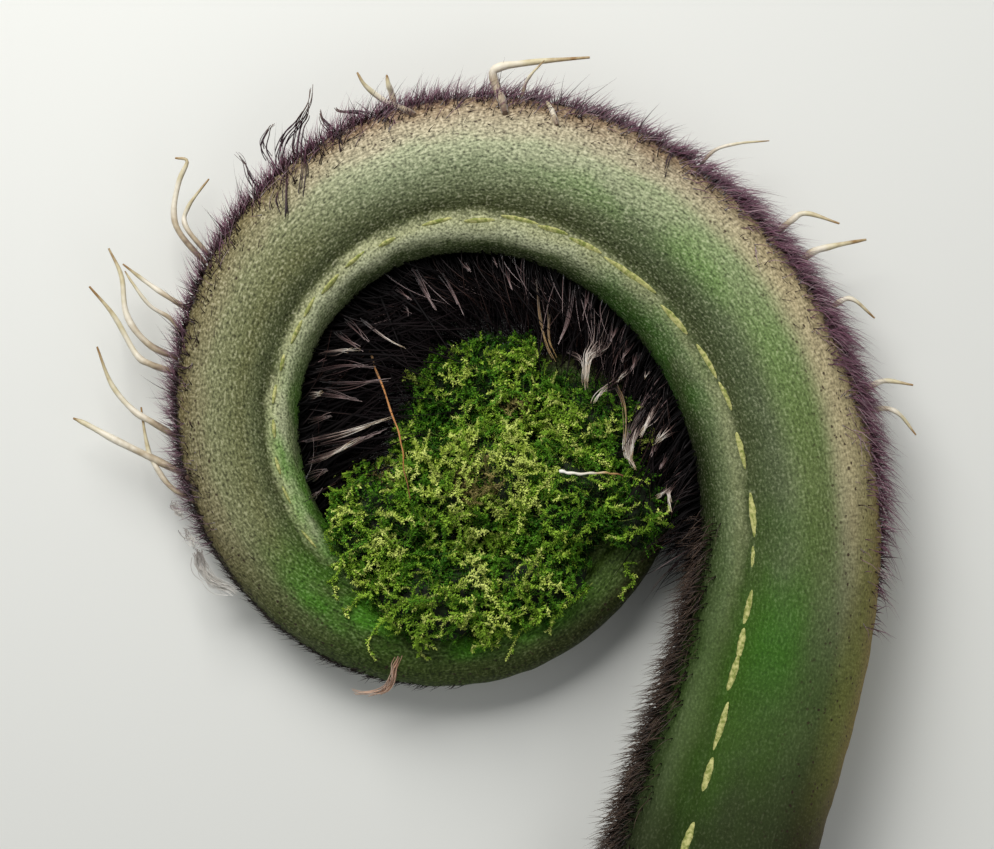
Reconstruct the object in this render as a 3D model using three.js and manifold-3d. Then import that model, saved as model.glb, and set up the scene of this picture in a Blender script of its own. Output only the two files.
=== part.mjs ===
// The crozier of a tree fern: a young frond that is still rolled up, cut off below the coil and lying
// on its side. The stalk runs up one side, turns over and tapers inwards to the rolled tip. Bristles
// line the outer back of the coil, dark hair lines its inner face, and moss has grown in the middle.
// Millimetres, +Z up. The coil lies flat, so X and Y span it, and what it lies on is at Z = 0.
import * as THREE from "three";
import { mergeVertices } from "three/addons/utils/BufferGeometryUtils.js";
import Module from "manifold-3d";

const wasm = await Module();
wasm.setup();

// The stalk's line. A station is the distance along it in mm from the point called foot, a little
// above the cut. Past the foot the line turns left all the way, tighter and tighter, to the tip.
const CUT_STATION = -14;
const TIP_STATION = 306;
const FOOT = { x: 27.353, y: -42.011, heading: 74.15 };
const TURN_PER_MM = [
  [CUT_STATION, -0.4],
  [0, -0.4],
  [40, 1.1],
  [80, 1.38],
  [120, 1.95],
  [160, 1.87],
  [200, 2.31],
  [219, 2],
  [232, 4.2],
  [262, 5],
  [284, 7.5],
  [300, 14],
  [TIP_STATION, 18],
];
const WIDTH = [
  [CUT_STATION, 25.6],
  [0, 25],
  [45, 22.4],
  [100, 20.1],
  [130, 17.8],
  [160, 15],
  [186, 12.4],
  [203, 10.6],
  [219, 8.6],
  [232, 7.2],
  [262, 5.6],
  [284, 4.3],
  [303, 3],
  [TIP_STATION, 1.6],
];
const THICKNESS_TO_WIDTH = 0.86;
const INNER_TURN_HEIGHT = 5; // where the thin inner turns' middle line lies above the table

// The stalk's section is two lobes, the broad back and the low front roll, with a groove between
// them on each side. Places are in half widths from the middle, and heights in half thicknesses.
const BACK_LOBE = { middle: 0.14, half: 0.86, height: 1 };
const FRONT_ROLL = { middle: -0.62, half: 0.38, height: 0.74 };
const WIDEST_ANGLE = THREE.MathUtils.radToDeg(Math.atan2(THICKNESS_TO_WIDTH, BACK_LOBE.middle));
const GROOVE_ANGLE = 128.4;
const SECTION_ANGLES = [0, 22, 43, 62, WIDEST_ANGLE, 100, 115, GROOVE_ANGLE, 145, 162, 180];

// Neighbouring pieces keep this far apart, and details finer than the second size are smoothed.
const SEAM = 0.3;
const FINEST = 0.01;

// The pieces that the stalk is made in: where each ends, and its name.
const LIMBS = [
  { name: "stalk_foot", end: 14 },
  { name: "stalk_neck", end: 42 },
  { name: "outer_turn_1", end: 68 },
  { name: "outer_turn_2", end: 94 },
  { name: "outer_turn_3", end: 120 },
  { name: "outer_turn_4", end: 146 },
  { name: "outer_turn_5", end: 172 },
  { name: "outer_turn_6", end: 198 },
  { name: "outer_turn_7", end: 222 },
  { name: "inner_turn_1", end: 240 },
  { name: "inner_turn_2", end: 258 },
  { name: "inner_turn_3", end: 276 },
  { name: "inner_turn_4", end: 292 },
  { name: "rolled_tip", end: TIP_STATION },
];
const OUTER_STEP = 5.2;
const INNER_STEP = 3;
const INNER_FROM = 198;

// A strip of felt hugs the skin round a middle angle, to so many degrees on each side. It is thick
// along its middle and thin at its edges. The hair that stands in it starts at the root's height.
const BAND = { angle: 0, half: 50, under: 0.4, middle: 1.1, edge: 0.65, root: 0.75 };
const MAT = { angle: 180, half: 42, under: 0.5, middle: 1.8, edge: 0.85, root: 1.1 };
const ROOT_SPREAD = 0.6; // the share of the strip's half angle that hair stands in

// The purple-brown bristles down the back of the coil, in one strip for each stretch.
const BRISTLE = { radius: 0.26, least: 1.6, most: 3.2, spacing: 1.5 };
const BRISTLE_BANDS = [
  { name: "bristles_neck", from: 22, to: 42 },
  { name: "bristles_1", from: 42, to: 68 },
  { name: "bristles_2", from: 68, to: 94 },
  { name: "bristles_3", from: 94, to: 120 },
  { name: "bristles_4", from: 120, to: 146 },
  { name: "bristles_5", from: 146, to: 172 },
];

// The long pale bristles among them: the station of each root, how far it sets out in mm, and how
// far it has curled away by its tip. Both are given outwards and then forwards along the stalk.
const LONG_RADIUS = 0.34;
const LONG_BRISTLES = [
  { at: 54, start: [6.5, -3.2], curl: [-0.5, -0.6] },
  { at: 57, start: [7.1, -0.4], curl: [-0.4, -0.6] },
  { at: 70, start: [9.6, 0.5], curl: [-0.8, -2.8] },
  { at: 75, start: [10, 0.3], curl: [-2.6, -4.1] },
  { at: 84.5, start: [8, -5], curl: [0.3, 0.3] },
  { at: 104.5, start: [12.4, 5.8], curl: [-7.4, -11.4] },
  { at: 110.5, start: [5, 2.6], curl: [0.3, -1] },
  { at: 113, start: [4.6, 7.3], curl: [1.2, -1.3] },
  { at: 134.5, start: [8.1, -8.5], curl: [-2.9, -0.4] },
  { at: 137.5, start: [13.5, -10], curl: [-3.9, 0.7] },
  { at: 142, start: [9.7, -2.8], curl: [0, 0] },
  { at: 149, start: [13.3, -8.3], curl: [-1.1, -1.6] },
  { at: 151.5, start: [17.3, -7.4], curl: [-6.5, -6.3] },
  { at: 156.5, start: [14.6, -7.8], curl: [-5.4, -3.9] },
  { at: 160, start: [12.8, -9.3], curl: [-0.6, -0.7] },
  { at: 163.5, start: [7.8, -12.2], curl: [-5.2, -1] },
];

// The dark hair that lines the face of the stalk that looks into the coil. It is matted at its foot,
// and its longer hairs lean over the hollow.
const HAIR = { radius: 0.4, least: 3.5, most: 8 };
const HAIR_MATS = [
  { name: "hair_stalk_1", from: -8, to: 14, hairs: 11, reach: 0.5 },
  { name: "hair_stalk_2", from: 14, to: 42, hairs: 15, reach: 0.5 },
  { name: "hair_hollow_1", from: 42, to: 68, hairs: 16, reach: 0.9 },
  { name: "hair_hollow_2", from: 68, to: 94, hairs: 18, reach: 1 },
  { name: "hair_hollow_3", from: 94, to: 120, hairs: 18, reach: 1 },
  { name: "hair_hollow_4", from: 120, to: 146, hairs: 18, reach: 1 },
  { name: "hair_hollow_5", from: 146, to: 166, hairs: 10, reach: 0.8 },
];

// The moss: where each cushion's middle lies from the foot, its reach along X and Y, and the height
// of its top. All start at the same height over the table.
const MOSS_FLOOR = 1.2;
const MOSS_CUSHIONS = [
  { name: "moss_upper", x: -27.8, y: 57, rx: 11.4, ry: 8.2, top: 11.5 },
  { name: "moss_upper_right", x: -15.3, y: 52.6, rx: 9, ry: 8.4, top: 12 },
  { name: "moss_right", x: -9.4, y: 42.7, rx: 5, ry: 6.8, top: 13 },
  { name: "moss_middle", x: -29.1, y: 46.3, rx: 10.5, ry: 8.4, top: 15.5 },
  { name: "moss_middle_right", x: -19.1, y: 43.9, rx: 9, ry: 8.4, top: 14.5 },
  { name: "moss_left", x: -41.6, y: 40.1, rx: 7.2, ry: 8.8, top: 13.5 },
  { name: "moss_lower", x: -34.1, y: 31.4, rx: 10.5, ry: 7, top: 15 },
  { name: "moss_lower_right", x: -21, y: 33.2, rx: 9.4, ry: 6.8, top: 13.5 },
];
const MOSS_ROUGHNESS = 0.09;
const CELL_SIZE = 80;
const CELL_GAP = 0.4;
const SPRIG = { count: 7, length: 5, radius: 0.5, leaves: 3, sunk: 1.5, lowest: 0.45 };
const MOSS_LEAF = { length: 2.6, width: 1.4, thickness: 0.5, sunk: 0.2 };

// Simple colours, read off the photograph.
const SKIN = new THREE.MeshStandardMaterial({ color: 0x6f7b51, roughness: 0.7, metalness: 0 });
const BRISTLES = new THREE.MeshStandardMaterial({ color: 0x4c333c, roughness: 0.6, metalness: 0 });
const DARK_HAIR = new THREE.MeshStandardMaterial({ color: 0x2a1a1c, roughness: 0.6, metalness: 0 });
const MOSS = new THREE.MeshStandardMaterial({ color: 0x5c7d1c, roughness: 0.85, metalness: 0 });

const UP = new THREE.Vector3(0, 0, 1);
const OFF_AXIS = new THREE.Vector3(0.01, 0.02, 0.05);
const radians = THREE.MathUtils.degToRad;
const { lerp, seededRandom } = THREE.MathUtils;

function between(least, most) {
  return lerp(least, most, seededRandom());
}

// Reads a table of [station, value] rows, straight between them.
function along(table, station) {
  const next = table.findIndex(([at]) => at >= station);
  if (next < 1) return table.at(next)[1];
  const [[at0, value0], [at1, value1]] = [table[next - 1], table[next]];
  return lerp(value0, value1, (station - at0) / (at1 - at0));
}

// The stalk's line, stepped out from the foot in both directions, and a little past the tip.
const LINE_STEP = 0.25;
const line = new Map();
function stepOut(direction, last) {
  let { x, y } = FOOT;
  let heading = radians(FOOT.heading);
  const steps = Math.round(Math.abs(last) / LINE_STEP);
  for (let i = 0; i <= steps; i++) {
    line.set(direction * i, { x, y, heading });
    const middle = direction * (i + 0.5) * LINE_STEP;
    const turn = radians(along(TURN_PER_MM, middle)) * LINE_STEP * direction;
    x += direction * LINE_STEP * Math.cos(heading + turn / 2);
    y += direction * LINE_STEP * Math.sin(heading + turn / 2);
    heading += turn;
  }
}
stepOut(1, TIP_STATION + 1);
stepOut(-1, CUT_STATION);

// The place and directions at a station: forward along the stalk, and out to its back.
function placeAt(station) {
  const low = Math.floor(station / LINE_STEP);
  const a = line.get(low);
  const b = line.get(low + 1) ?? a;
  const share = station / LINE_STEP - low;
  const heading = lerp(a.heading, b.heading, share);
  const half = along(WIDTH, station) / 2;
  const halfThick = half * THICKNESS_TO_WIDTH;
  return {
    half,
    halfThick,
    middle: new THREE.Vector3(lerp(a.x, b.x, share), lerp(a.y, b.y, share),
      Math.max(halfThick, INNER_TURN_HEIGHT)),
    forward: new THREE.Vector3(Math.cos(heading), Math.sin(heading), 0),
    out: new THREE.Vector3(Math.sin(heading), -Math.cos(heading), 0),
  };
}

// How far a lobe's outline is from the section's middle, in the direction of an angle.
function lobeReach(lobe, angle, half, halfThick) {
  const wide = lobe.half * half;
  const high = lobe.height * halfThick;
  const offset = (lobe.middle * half) / wide;
  const [p, q] = [Math.cos(angle) / wide, Math.sin(angle) / high];
  const a = p * p + q * q;
  const b = -2 * p * offset;
  const root = b * b - 4 * a * (offset * offset - 1);
  return root < 0 ? 0 : (Math.sqrt(root) - b) / (2 * a);
}

function sectionReach(angle, { half, halfThick }) {
  return Math.max(
    lobeReach(BACK_LOBE, angle, half, halfThick),
    lobeReach(FRONT_ROLL, angle, half, halfThick),
  );
}

// The direction from the stalk's line at an angle: 0 out to the back, 90 up, 180 into the coil.
function ray(place, angle) {
  return place.out.clone().multiplyScalar(Math.cos(angle)).addScaledVector(UP, Math.sin(angle));
}

// A point over the stalk's skin, lifted off it by some millimetres.
function skinPoint(station, angle, lift) {
  const place = placeAt(station);
  return place.middle.clone().addScaledVector(ray(place, angle), sectionReach(angle, place) + lift);
}

// Moves every vertex of a geometry to where the function puts it.
function reshape(geometry, put) {
  const position = geometry.getAttribute("position");
  const point = new THREE.Vector3();
  for (let i = 0; i < position.count; i++) {
    point.copy(put(point.fromBufferAttribute(position, i)));
    position.setXYZ(i, point.x, point.y, point.z);
  }
  return geometry;
}

function solidFrom(geometry) {
  const bare = geometry.clone();
  bare.deleteAttribute("normal");
  bare.deleteAttribute("uv");
  const merged = mergeVertices(bare, 1e-4);
  return new wasm.Manifold(new wasm.Mesh({
    numProp: 3,
    vertProperties: merged.getAttribute("position").array,
    triVerts: Uint32Array.from(merged.index.array),
  }));
}

function geometryFrom(solid) {
  const mesh = solid.getMesh();
  return new THREE.BufferGeometry()
    .setAttribute("position", new THREE.BufferAttribute(mesh.vertProperties, 3))
    .setIndex(new THREE.BufferAttribute(mesh.triVerts, 1));
}

// The largest body of a solid, smoothed where it is finer than need be. Loose scraps are dropped,
// and a hollow that the joining sealed is filled.
function largestBody(solid) {
  const bodies = solid.simplify(FINEST).decompose();
  return bodies.reduce((a, b) => (b.volume() > a.volume() ? b : a));
}

function keepsClear(solid, standing) {
  return standing.every((other) => solid.minGap(other, 1) >= SEAM);
}

// A stretch of stalk: a bent, tapering cylinder with the two-lobed section.
function limbGeometry(from, to, lift) {
  const mirrored = SECTION_ANGLES.slice(1, -1).reverse().map((angle) => 360 - angle);
  const angles = [...SECTION_ANGLES, ...mirrored].map(radians);
  const sides = angles.length;
  const steps = Math.round((to - from) / (from < INNER_FROM ? OUTER_STEP : INNER_STEP));
  const tube = new THREE.CylinderGeometry(1, 1, 1, sides, steps);
  return reshape(tube, ({ x, y, z }) => {
    const turn = Math.atan2(z, x) / (2 * Math.PI);
    const angle = angles[Math.round((turn + 1) * sides) % sides];
    const place = placeAt(lerp(from, to, y + 0.5));
    const reach = Math.hypot(x, z) < 0.5 ? 0 : sectionReach(angle, place) + lift;
    return place.middle.clone().addScaledVector(ray(place, angle), reach);
  });
}

// A strip of felt along the skin.
function stripGeometry(from, to, felt) {
  const steps = Math.round((to - from) / OUTER_STEP);
  const box = new THREE.BoxGeometry(1, 1, 1, 6, steps, 1);
  return reshape(box, ({ x, y, z }) => {
    const angle = radians(felt.angle - 2 * x * felt.half);
    const top = lerp(felt.edge, felt.middle, Math.cos(Math.PI * x));
    return skinPoint(lerp(from, to, y + 0.5), angle, z > 0 ? top : felt.under);
  });
}

// A thin tapering strand with three sides. It sets out along the start and has moved by the curl
// as well at its tip, so it is straight where the curl is nothing.
function strand(root, start, curl, radius, segments) {
  const side = new THREE.Vector3().crossVectors(start, curl.clone().add(OFF_AXIS)).normalize();
  const cone = new THREE.ConeGeometry(radius, 1, 3, segments);
  return solidFrom(reshape(cone, ({ x, y, z }) => {
    const share = y + 0.5;
    const tangent = start.clone().addScaledVector(curl, 2 * share);
    const other = new THREE.Vector3().crossVectors(side, tangent).normalize();
    return root.clone()
      .addScaledVector(start, share)
      .addScaledVector(curl, share * share)
      .addScaledVector(side, x)
      .addScaledVector(other, z);
  }));
}

// A hair that stands in a strip of felt, with its start and curl given outwards and forwards from
// the skin in mm. The middle of a strip is at angle 0 here, and rise leans the hair up or down.
function hairIn(felt, station, angle, start, curl, rise, radius, segments) {
  const place = placeAt(station);
  const skinAngle = radians(felt.angle) + angle;
  const away = ray(place, skinAngle);
  const up = ray(place, skinAngle + Math.PI / 2);
  const root = skinPoint(station, skinAngle, felt.root);
  const set = ([out, forward], lean) => away.clone().multiplyScalar(out)
    .addScaledVector(place.forward, forward)
    .addScaledVector(up, lean);
  return strand(root, set(start, rise), set(curl, 0), radius, segments);
}

// Short bristles all along a band, and the long ones that root in it.
function bristlesOf({ from, to }) {
  const count = Math.round((to - from) / BRISTLE.spacing);
  const spread = radians(BAND.half * ROOT_SPREAD);
  const short = Array.from({ length: count - 1 }, (_, i) => {
    const station = lerp(from, to, (i + 1) / count) + between(-0.3, 0.3);
    const length = between(BRISTLE.least, BRISTLE.most);
    const start = [length, length * between(-0.6, 0.1)];
    const angle = between(-spread, spread);
    return hairIn(BAND, station, angle, start, [0, 0], between(-0.4, 0.4), BRISTLE.radius, 1);
  });
  const rooted = LONG_BRISTLES.filter(({ at }) => at >= from && at < to);
  const long = rooted.map(({ at, start, curl }) =>
    hairIn(BAND, at, between(-0.1, 0.1), start, curl, between(-1, 1.5), LONG_RADIUS, 4));
  return [...short, ...long];
}

// The hairs of one mat, leaning over the hollow and back towards the stalk's foot.
function hairsOf({ from, to, hairs, reach }) {
  const spread = radians(MAT.half * ROOT_SPREAD);
  return Array.from({ length: hairs }, (_, i) => {
    const station = lerp(from, to, (i + 0.5) / hairs) + between(-0.4, 0.4);
    const length = reach * between(HAIR.least, HAIR.most);
    const start = [length, length * between(-0.5, 0.1)];
    const curl = [length * between(-0.3, 0), length * between(-0.5, -0.1)];
    const angle = between(-spread, spread);
    return hairIn(MAT, station, angle, start, curl, between(-0.8, 0.8), HAIR.radius, 2);
  });
}

// The space of each cushion: a tall block, cut back to half a gap short of halfway to each neighbour.
function cellSolid(cushion) {
  const sides = MOSS_CUSHIONS.filter((other) => other !== cushion).map((other) => {
    const toOther = new THREE.Vector2(other.x - cushion.x, other.y - cushion.y);
    const block = new THREE.BoxGeometry(CELL_SIZE, CELL_SIZE, CELL_SIZE);
    block.translate((toOther.length() - CELL_GAP - CELL_SIZE) / 2, 0, 0);
    block.rotateZ(toOther.angle());
    block.translate(FOOT.x + cushion.x, FOOT.y + cushion.y, 0);
    return solidFrom(block);
  });
  return wasm.Manifold.intersection(sides);
}

// A moss leaf: a flat eight-faced blade whose root is sunk in its twig.
function mossLeaf(root, direction, facing) {
  const side = new THREE.Vector3().crossVectors(facing, direction).normalize();
  const flat = new THREE.Vector3().crossVectors(side, direction).normalize();
  const blade = new THREE.OctahedronGeometry(0.5);
  return solidFrom(reshape(blade, ({ x, y, z }) => root.clone()
    .addScaledVector(direction, (y + 0.5 - MOSS_LEAF.sunk) * MOSS_LEAF.length)
    .addScaledVector(side, x * MOSS_LEAF.width)
    .addScaledVector(flat, z * MOSS_LEAF.thickness)));
}

// The twig and leaves of one moss sprig, without any that wouldn't fit.
function mossSprig(fits, root, direction) {
  const length = SPRIG.length * between(0.7, 1.1);
  const start = direction.clone().multiplyScalar(length);
  const curl = new THREE.Vector3(between(-0.4, 0.4), between(-0.4, 0.4), between(-0.4, 0.1))
    .multiplyScalar(length);
  const twig = strand(root, start, curl, SPRIG.radius, 2);
  const leaves = Array.from({ length: SPRIG.leaves }, (_, i) => {
    const share = 0.35 + (0.55 * (i + 1)) / SPRIG.leaves;
    const at = root.clone().addScaledVector(start, share).addScaledVector(curl, share * share);
    const aside = new THREE.Vector3(between(-1, 1), between(-1, 1), between(-0.3, 1));
    return mossLeaf(at, aside.addScaledVector(direction, 0.8).normalize(), direction);
  });
  return fits(twig) ? [twig, ...leaves.filter(fits)] : [];
}

// One cushion of moss: an uneven core with leafy sprigs standing out of it. The core is cut back to
// its cell and off the stalk. A twig or leaf that would leave the cell or touch anything is skipped.
function mossCushion(cushion, limbSpace, standing) {
  const { rx, ry, top } = cushion;
  const middle = new THREE.Vector3(FOOT.x + cushion.x, FOOT.y + cushion.y, (top + MOSS_FLOOR) / 2);
  const size = new THREE.Vector3(rx, ry, (top - MOSS_FLOOR) / 2);
  const cell = cellSolid(cushion);
  const fits = (solid) => solid.subtract(cell).isEmpty() && keepsClear(solid, standing);
  const core = reshape(new THREE.IcosahedronGeometry(1, 2), (on) => {
    const lump = Math.sin(5 * on.x + rx) * Math.sin(5 * on.y + ry) * Math.cos(4 * on.z);
    return on.clone().multiplyScalar(1 - MOSS_ROUGHNESS * (1 - lump)).multiply(size).add(middle);
  });
  const sprigs = Array.from({ length: SPRIG.count }, (_, i) => {
    const heading = (2 * Math.PI * (i + between(0, 0.7))) / SPRIG.count;
    const rise = between(SPRIG.lowest, 1);
    const flat = Math.sqrt(1 - rise * rise);
    const on = new THREE.Vector3(flat * Math.cos(heading), flat * Math.sin(heading), rise);
    const direction = on.clone().divide(size).normalize();
    const root = on.clone().multiply(size).add(middle).addScaledVector(direction, -SPRIG.sunk);
    return mossSprig(fits, root, direction);
  });
  const cut = largestBody(solidFrom(core).intersect(cell).subtract(limbSpace));
  return largestBody(wasm.Manifold.union([cut, ...sprigs.flat()]));
}

const crozier = new THREE.Group();
function addPiece(name, geometry, material) {
  const mesh = new THREE.Mesh(geometry, material);
  mesh.name = name;
  crozier.add(mesh);
}

// The stalk, from its flat cut to the rolled tip.
const limbSolids = [];
let begin = CUT_STATION;
for (const { name, end } of LIMBS) {
  const from = begin === CUT_STATION ? begin : begin + SEAM / 2;
  const to = end === TIP_STATION ? end : end - SEAM / 2;
  const geometry = limbGeometry(from, to, 0);
  addPiece(name, geometry, SKIN);
  limbSolids.push(solidFrom(geometry));
  begin = end;
}

// The strips of felt, still without their hair.
const strips = [
  ...BRISTLE_BANDS.map((stretch) => ({ stretch, felt: BAND, material: BRISTLES })),
  ...HAIR_MATS.map((stretch) => ({ stretch, felt: MAT, material: DARK_HAIR })),
];
for (const strip of strips) {
  const { from, to } = strip.stretch;
  strip.solid = solidFrom(stripGeometry(from + SEAM / 2, to - SEAM / 2, strip.felt));
}

// The moss, clear of the stalk, which runs on through it.
seededRandom(11);
const limbSpace = wasm.Manifold.union(LIMBS.slice(1).map(({ end }, i) =>
  solidFrom(limbGeometry(LIMBS[i].end, end + SEAM, SEAM))));
const bare = [...limbSolids, ...strips.map(({ solid }) => solid)];
const mossSolids = MOSS_CUSHIONS.map((cushion) => mossCushion(cushion, limbSpace, bare));
mossSolids.forEach((solid, i) => {
  addPiece(MOSS_CUSHIONS[i].name, geometryFrom(solid), MOSS);
});

// The hair in each strip, as far as it keeps clear of everything that stands already.
for (const strip of strips) {
  const hairs = strip.felt === BAND ? bristlesOf(strip.stretch) : hairsOf(strip.stretch);
  const others = strips.filter((other) => other !== strip).map(({ solid }) => solid);
  const clear = hairs.filter((hair) => keepsClear(hair, [...limbSolids, ...mossSolids, ...others]));
  strip.solid = largestBody(wasm.Manifold.union([strip.solid, ...clear]));
  addPiece(strip.stretch.name, geometryFrom(strip.solid), strip.material);
}

export default crozier;
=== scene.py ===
import math

import bmesh
import bpy
import numpy as np
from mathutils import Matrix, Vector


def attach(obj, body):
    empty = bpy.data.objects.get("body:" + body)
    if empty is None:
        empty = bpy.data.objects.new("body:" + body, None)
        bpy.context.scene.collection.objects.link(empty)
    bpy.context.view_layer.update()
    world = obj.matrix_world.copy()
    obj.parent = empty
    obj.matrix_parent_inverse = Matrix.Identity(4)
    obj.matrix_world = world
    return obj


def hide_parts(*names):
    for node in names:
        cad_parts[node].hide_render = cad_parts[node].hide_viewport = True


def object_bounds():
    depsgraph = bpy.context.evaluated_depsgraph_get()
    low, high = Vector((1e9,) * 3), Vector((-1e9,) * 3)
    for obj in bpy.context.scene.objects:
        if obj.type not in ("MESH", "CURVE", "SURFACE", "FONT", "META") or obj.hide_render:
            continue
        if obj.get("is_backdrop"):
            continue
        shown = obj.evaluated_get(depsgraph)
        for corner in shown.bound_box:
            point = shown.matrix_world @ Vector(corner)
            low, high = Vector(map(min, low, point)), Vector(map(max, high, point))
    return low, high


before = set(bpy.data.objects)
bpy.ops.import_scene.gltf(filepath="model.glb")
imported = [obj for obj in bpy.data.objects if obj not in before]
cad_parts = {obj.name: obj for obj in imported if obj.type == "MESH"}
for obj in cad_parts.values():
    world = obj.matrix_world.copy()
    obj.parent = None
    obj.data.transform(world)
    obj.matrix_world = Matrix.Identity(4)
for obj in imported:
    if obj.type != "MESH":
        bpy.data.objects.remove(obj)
cad_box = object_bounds()

# The stage. The camera looks straight down on the coil with a long lens, as the photograph does
# from the side of a standing frond. The floor is pale, and the light is one broad soft window
# beyond the top of the coil, a weaker one opposite, and a pale room.
MM = 0.001
PHOTO_WIDTH = 994
MM_PER_PIXEL = 0.125
VIEW_CENTRE = (0.413, 11.247)
SHARP_HEIGHT = 9.5
NEAREST_SEEN = 10
LENS, SENSOR = 100, 36
FLOOR_REACH = 900
WINDOWS = [("window", (-110, 270, 300), 240, 1.75), ("far_window", (240, -260, 380), 360, 0.4)]
ROOM_STRENGTH = 0.23

scene = bpy.context.scene
scene.view_settings.view_transform = "Standard"


def place_object(name, data, place=(0, 0, 0)):
    """An object in the scene, at a place in millimetres."""
    made = bpy.data.objects.new(name, data)
    made.location = np.array(place) * MM
    scene.collection.objects.link(made)
    return made


def new_mesh(name, points, edges=(), faces=()):
    """A mesh with these points, in millimetres."""
    mesh = bpy.data.meshes.new(name)
    mesh.from_pydata((np.asarray(points) * MM).tolist(), list(edges), list(faces))
    return mesh


def linear(code):
    """The linear colour of an sRGB hex code, with its alpha."""
    parts = [int(code[i:i + 2], 16) / 255 for i in (1, 3, 5)]
    bent = [c / 12.92 if c <= 0.04045 else ((c + 0.055) / 1.055) ** 2.4 for c in parts]
    return (*bent, 1.0)


def add(tree, kind, inputs=(), **settings):
    """A node in the tree, with its settings, and its inputs set or linked by name or in order."""
    if "Node" not in kind:
        kind = ("ShaderNode" if hasattr(bpy.types, "ShaderNode" + kind) else "GeometryNode") + kind
    made = tree.nodes.new(kind)
    for name, value in settings.items():
        setattr(made, name, value)
    for key, value in inputs.items() if isinstance(inputs, dict) else enumerate(inputs):
        if isinstance(value, bpy.types.Node):
            value = next(output for output in value.outputs if output.enabled)
        if isinstance(value, bpy.types.NodeSocket):
            tree.links.new(value, made.inputs[key])
        else:
            made.inputs[key].default_value = value
    return made


def new_material(name, **shader):
    """A material with one plain shader, its tree, and that shader."""
    material = bpy.data.materials.new(name)
    material.use_nodes = True
    shade = material.node_tree.nodes["Principled BSDF"]
    for key, value in shader.items():
        shade.inputs[key.replace("_", " ")].default_value = value
    return material, material.node_tree, shade


camera = place_object("camera", bpy.data.cameras.new("camera"), (
    *VIEW_CENTRE, SHARP_HEIGHT + PHOTO_WIDTH * MM_PER_PIXEL * LENS / SENSOR))
camera.data.lens = LENS
camera.data.sensor_width = SENSOR
camera.data.clip_start = NEAREST_SEEN * MM
scene.camera = camera

corners = [(x * FLOOR_REACH, y * FLOOR_REACH, 0) for x, y in ((-1, -1), (1, -1), (1, 1), (-1, 1))]
floor = place_object("floor", new_mesh("floor", corners, faces=[(0, 1, 2, 3)]))
floor.data.materials.append(
    new_material("pale_backdrop_paper", Roughness=0.9, Base_Color=linear("#e6e6e0"))[0])
floor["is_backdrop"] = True

for name, place, side, watts in WINDOWS:
    light = bpy.data.lights.new(name, "AREA")
    light.energy = watts
    light.size = side * MM
    lamp = place_object(name, light, place)
    lamp.rotation_euler = lamp.location.to_track_quat("Z", "Y").to_euler()

room = bpy.data.worlds.new("room")
room.use_nodes = True
glow = room.node_tree.nodes["Background"].inputs
glow["Color"].default_value = linear("#e9edf0")
glow["Strength"].default_value = ROOM_STRENGTH
scene.world = room

# The stalk. It is one living stem that thins all along and rolls up tighter and tighter, and it has
# grown as a broad back with a low roll in front of it, so a groove runs along each flank. The skin
# is waxy and finely grained. It is swept along the stalk's line from cut to tip.
CUT_STATION = -14
TIP_STATION = 306
FOOT = (27.353, -42.011)
FOOT_HEADING = math.radians(74.15)
TURN_PER_MM = [
    (CUT_STATION, -0.4), (0, -0.4), (40, 1.1), (80, 1.38), (120, 1.95), (160, 1.87), (200, 2.31),
    (219, 2), (232, 4.2), (262, 5), (284, 7.5), (300, 14), (TIP_STATION, 18),
]
WIDTH = [
    (CUT_STATION, 25.6), (0, 25), (45, 22.4), (100, 20.1), (130, 17.8), (160, 15), (186, 12.4),
    (203, 10.6), (219, 8.6), (232, 7.2), (262, 5.6), (284, 4.3), (303, 3), (TIP_STATION, 1.6),
]
THICKNESS_TO_WIDTH = 0.86
INNER_TURN_HEIGHT = 5
# Both lobes of the section: middle and half width across, and height, in half widths of the stalk.
BACK_LOBE = (0.14, 0.86, 1)
FRONT_ROLL = (-0.62, 0.38, 0.74)
GROOVE_SOFTNESS = 0.05
LINE_STEP = 0.25
SKIN_STEP = 0.5
SKIN_SIDES = 112
UP = np.array([0.0, 0.0, 1.0])


def along(rows, station):
    """Reads a table of (station, value) rows, straight between them."""
    stations, values = zip(*rows)
    return np.interp(station, stations, values)


def step_out(direction, last):
    """The stalk's line from the foot one way: rows of station, x, y and heading."""
    steps = np.arange(round(abs(last) / LINE_STEP))
    turns = np.radians(along(TURN_PER_MM, direction * (steps + 0.5) * LINE_STEP))
    turns *= LINE_STEP * direction
    headings = FOOT_HEADING + np.concatenate([[0], np.cumsum(turns)])
    slants = headings[:-1] + turns / 2
    x, y = (np.concatenate([[0], np.cumsum(part(slants))]) * LINE_STEP * direction + start
            for part, start in zip((np.cos, np.sin), FOOT))
    return np.column_stack([direction * np.arange(len(x)) * LINE_STEP, x, y, headings])


line = np.concatenate([step_out(-1, CUT_STATION)[:0:-1], step_out(1, TIP_STATION)])


def place_at(station):
    """The stalk's middle, forward and outward directions and half width at each station."""
    x, y, heading = (np.interp(station, line[:, 0], line[:, i]) for i in (1, 2, 3))
    half = along(WIDTH, station) / 2
    height = np.maximum(half * THICKNESS_TO_WIDTH, INNER_TURN_HEIGHT)
    flat = np.zeros_like(heading)
    middle = np.stack([x, y, height], axis=-1)
    forward = np.stack([np.cos(heading), np.sin(heading), flat], axis=-1)
    out = np.stack([np.sin(heading), -np.cos(heading), flat], axis=-1)
    return middle, forward, out, half


def turned(angles, first, then):
    """The direction first, turned towards the other one by each angle."""
    return first * np.cos(angles)[:, None] + then * np.sin(angles)[:, None]


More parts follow.
